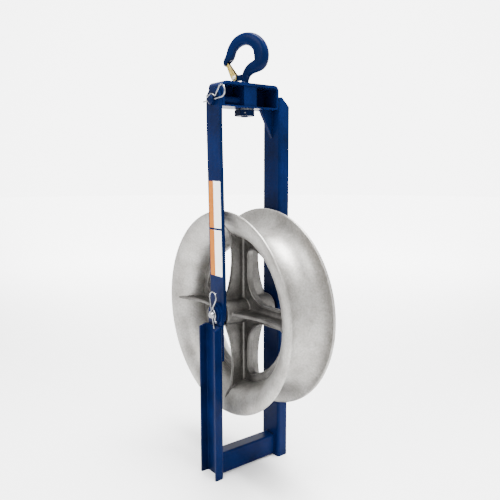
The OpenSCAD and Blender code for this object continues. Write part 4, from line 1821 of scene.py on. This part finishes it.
@dataclass
class Studio:
    """A pale floor, soft lights and the photograph's camera.

    Attributes:
        camera_at: The camera's place in metres.
        pan: The camera's turn about Z in degrees.
        drop: How far it looks down in degrees.
        roll: Its roll in degrees.
        lens: Its focal length for a 36 mm sensor.
        backdrop: The way from the wheel to the middle of the bright backdrop.
        edge: Where the backdrop's light starts and is full, as cosines from there.
        sky: The light all round and of the full backdrop.
        sweep: Metres from the wheel where the floor starts to glow and is full.
        glow: The floor's own light where it is full.
        floor_r: Radius of the floor.
        floor_t: Thickness of the floor.
        lamps: The lights.
    """

    camera_at: Place = (1.02066, -0.77148, 0.69436)
    pan: float = 52.380
    drop: float = 8.14
    roll: float = 0.05
    lens: float = 41.104
    backdrop: Place = (-0.785, 0.62, 0.0)
    edge: Pair = (0.58, 0.97)
    sky: Pair = (1.6, 6.5)
    sweep: Pair = (0.4, 3.4)
    glow: float = 4.9
    floor_r: float = 14000.0
    floor_t: float = 20.0
    lamps: tuple[Lamp, ...] = (
        Lamp("key", (0.5, -2.3, 2.1), 1.1, 55),
        Lamp("side", (1.7, 0.2, 2.3), 1.0, 16),
        Lamp("top", (0.3, 0.2, 3.1), 1.5, 380),
    )

    def camera(self) -> None:
        """Adds the camera."""
        data = bpy.data.cameras.new("camera")
        data.lens, data.sensor_width = self.lens, 36.0
        data.clip_end = 100
        made = bpy.data.objects.new("camera", data)
        made.location = self.camera_at
        angles = (90 - self.drop, self.roll, self.pan)
        made.rotation_euler = Euler([math.radians(angle) for angle in angles], "XYZ")
        bpy.context.scene.collection.objects.link(made)
        bpy.context.scene.camera = made

    def backdrop_light(self, nodes: Nodes, way: NodeSocket, ends: Pair) -> NodeSocket:
        """Makes a light that grows towards the backdrop.

        Args:
            nodes: Where the nodes go.
            way: The direction.
            ends: Its least and its full light.

        Returns:
            The light.
        """
        facing = nodes.towards(way, self.backdrop)
        return nodes.span(facing, ends, self.edge, "SMOOTHSTEP")

    def floor(self) -> None:
        """Adds the floor, a large disc just under the feet.

        Its own light is the backdrop's, for the way from the wheel to the
        place, times the distance counted from 0 to 1 over the sweep. So it is
        as bright as the backdrop far behind the wheel.
        """
        nodes = Nodes.material(Finish.FLOOR)
        way = nodes.vector("NORMALIZE", nodes.place)
        away = nodes.vector("LENGTH", nodes.place)
        light = self.backdrop_light(nodes, way.outputs[0], (0.0, self.glow))
        rise = nodes.span(away.outputs["Value"], (0.0, 1.0), self.sweep, "SMOOTHSTEP")
        both = nodes.add("ShaderNodeMath", operation="MULTIPLY")
        nodes.join(light, both.inputs[0])
        nodes.join(rise, both.inputs[1])
        nodes.set(
            Base_Color=tint(250, 250, 250), Roughness=0.65,
            Emission_Color=(1.0, 1.0, 1.0, 1.0),
        )
        nodes.feed(Emission_Strength=both.outputs[0])
        data = bpy.data.meshes.new("floor")
        shell = prism(arc((0, 0), self.floor_r, 0, 355, 71), -self.floor_t, 0)
        data.from_pydata((shell.points * MM).tolist(), [], shell.faces)
        data.materials.append(nodes.owner)
        disc = bpy.data.objects.new("floor", data)
        bpy.context.scene.collection.objects.link(disc)
        disc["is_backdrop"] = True

    def build(self) -> None:
        """Makes the studio."""
        world = bpy.data.worlds.new("studio")
        nodes = Nodes(world, "Background")
        nodes.set(Color=(1.0, 1.0, 1.0, 1.0))
        way = nodes.coordinates["Generated"]
        nodes.feed(Strength=self.backdrop_light(nodes, way, self.sky))
        bpy.context.scene.world = world
        self.floor()
        for lamp in self.lamps:
            lamp.build()
        self.camera()


# ---------------------------------------------------------------- assembly

CAD_WEAR = {
    Finish.ENAMEL: (
        "rear_leg", "front_leg", "axle_plate", "axle_plate_collar", "foot_tie",
        "side_strap", "head_bar", "head_floor", "head_back", "hook_block",
        "strap_stud", "head_gusset",
    ),
    # The nut under the head wears the deeper blue as painted shade.
    Finish.WELD: ("hook_nut",),
    # The washer under the head wears the dark steel as painted shade.
    Finish.STEEL: (
        "front_bearing_outer", "rear_bearing_outer", "front_bearing_balls",
        "rear_bearing_balls", "front_bearing_inner", "rear_bearing_inner",
        "bearing_spacer", "rear_spacer", "nut_lock_pin", "nut_washer",
    ),
    Finish.WIRE: ("axle",),
    Finish.ZINC: ("latch",),
    Finish.PALE: ("latch_pin",),
    Finish.WASHER: ("front_thrust_washer",),
    Finish.RUBBER: ("front_dust_seal", "rear_dust_seal"),
}
CLIPS = (
    WireClip(
        "upper_clip", "strap_clip", Body.STRAP_CLIP, (0.0, -87.1, 836.5), -4.0, True
    ),
    WireClip(
        "lower_clip", "axle_clip", Body.AXLE_CLIP, (0.0, -89.9, AXLE_Z), 77.0, False
    ),
)


def box_rows(box: object) -> object:
    """Turns a box of vectors into plain lists of numbers.


    Returns:
        Its numbers, row by row.
    """
    if hasattr(box, "__len__") and len(box) and hasattr(box[0], "__len__"):
        return [[float(v) for v in corner] for corner in box]
    return [float(v) for v in box]


def main() -> None:
    """Builds the studio and every sub-assembly round the CAD frame."""
    logging.basicConfig(level=logging.INFO, format="%(message)s")
    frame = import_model()
    cad_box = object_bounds()
    shop = Workshop()
    Studio().build()
    wear = {name: finish for finish, names in CAD_WEAR.items() for name in names}
    shop.dress(frame["nodes"], wear)
    for assembly in (Wheel(), Hook(), *CLIPS, Welds(), StrapPanels()):
        assembly.build(shop)
    {"cad": box_rows(cad_box), "visual": box_rows(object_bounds())}


if __name__ == "__main__":
    main()
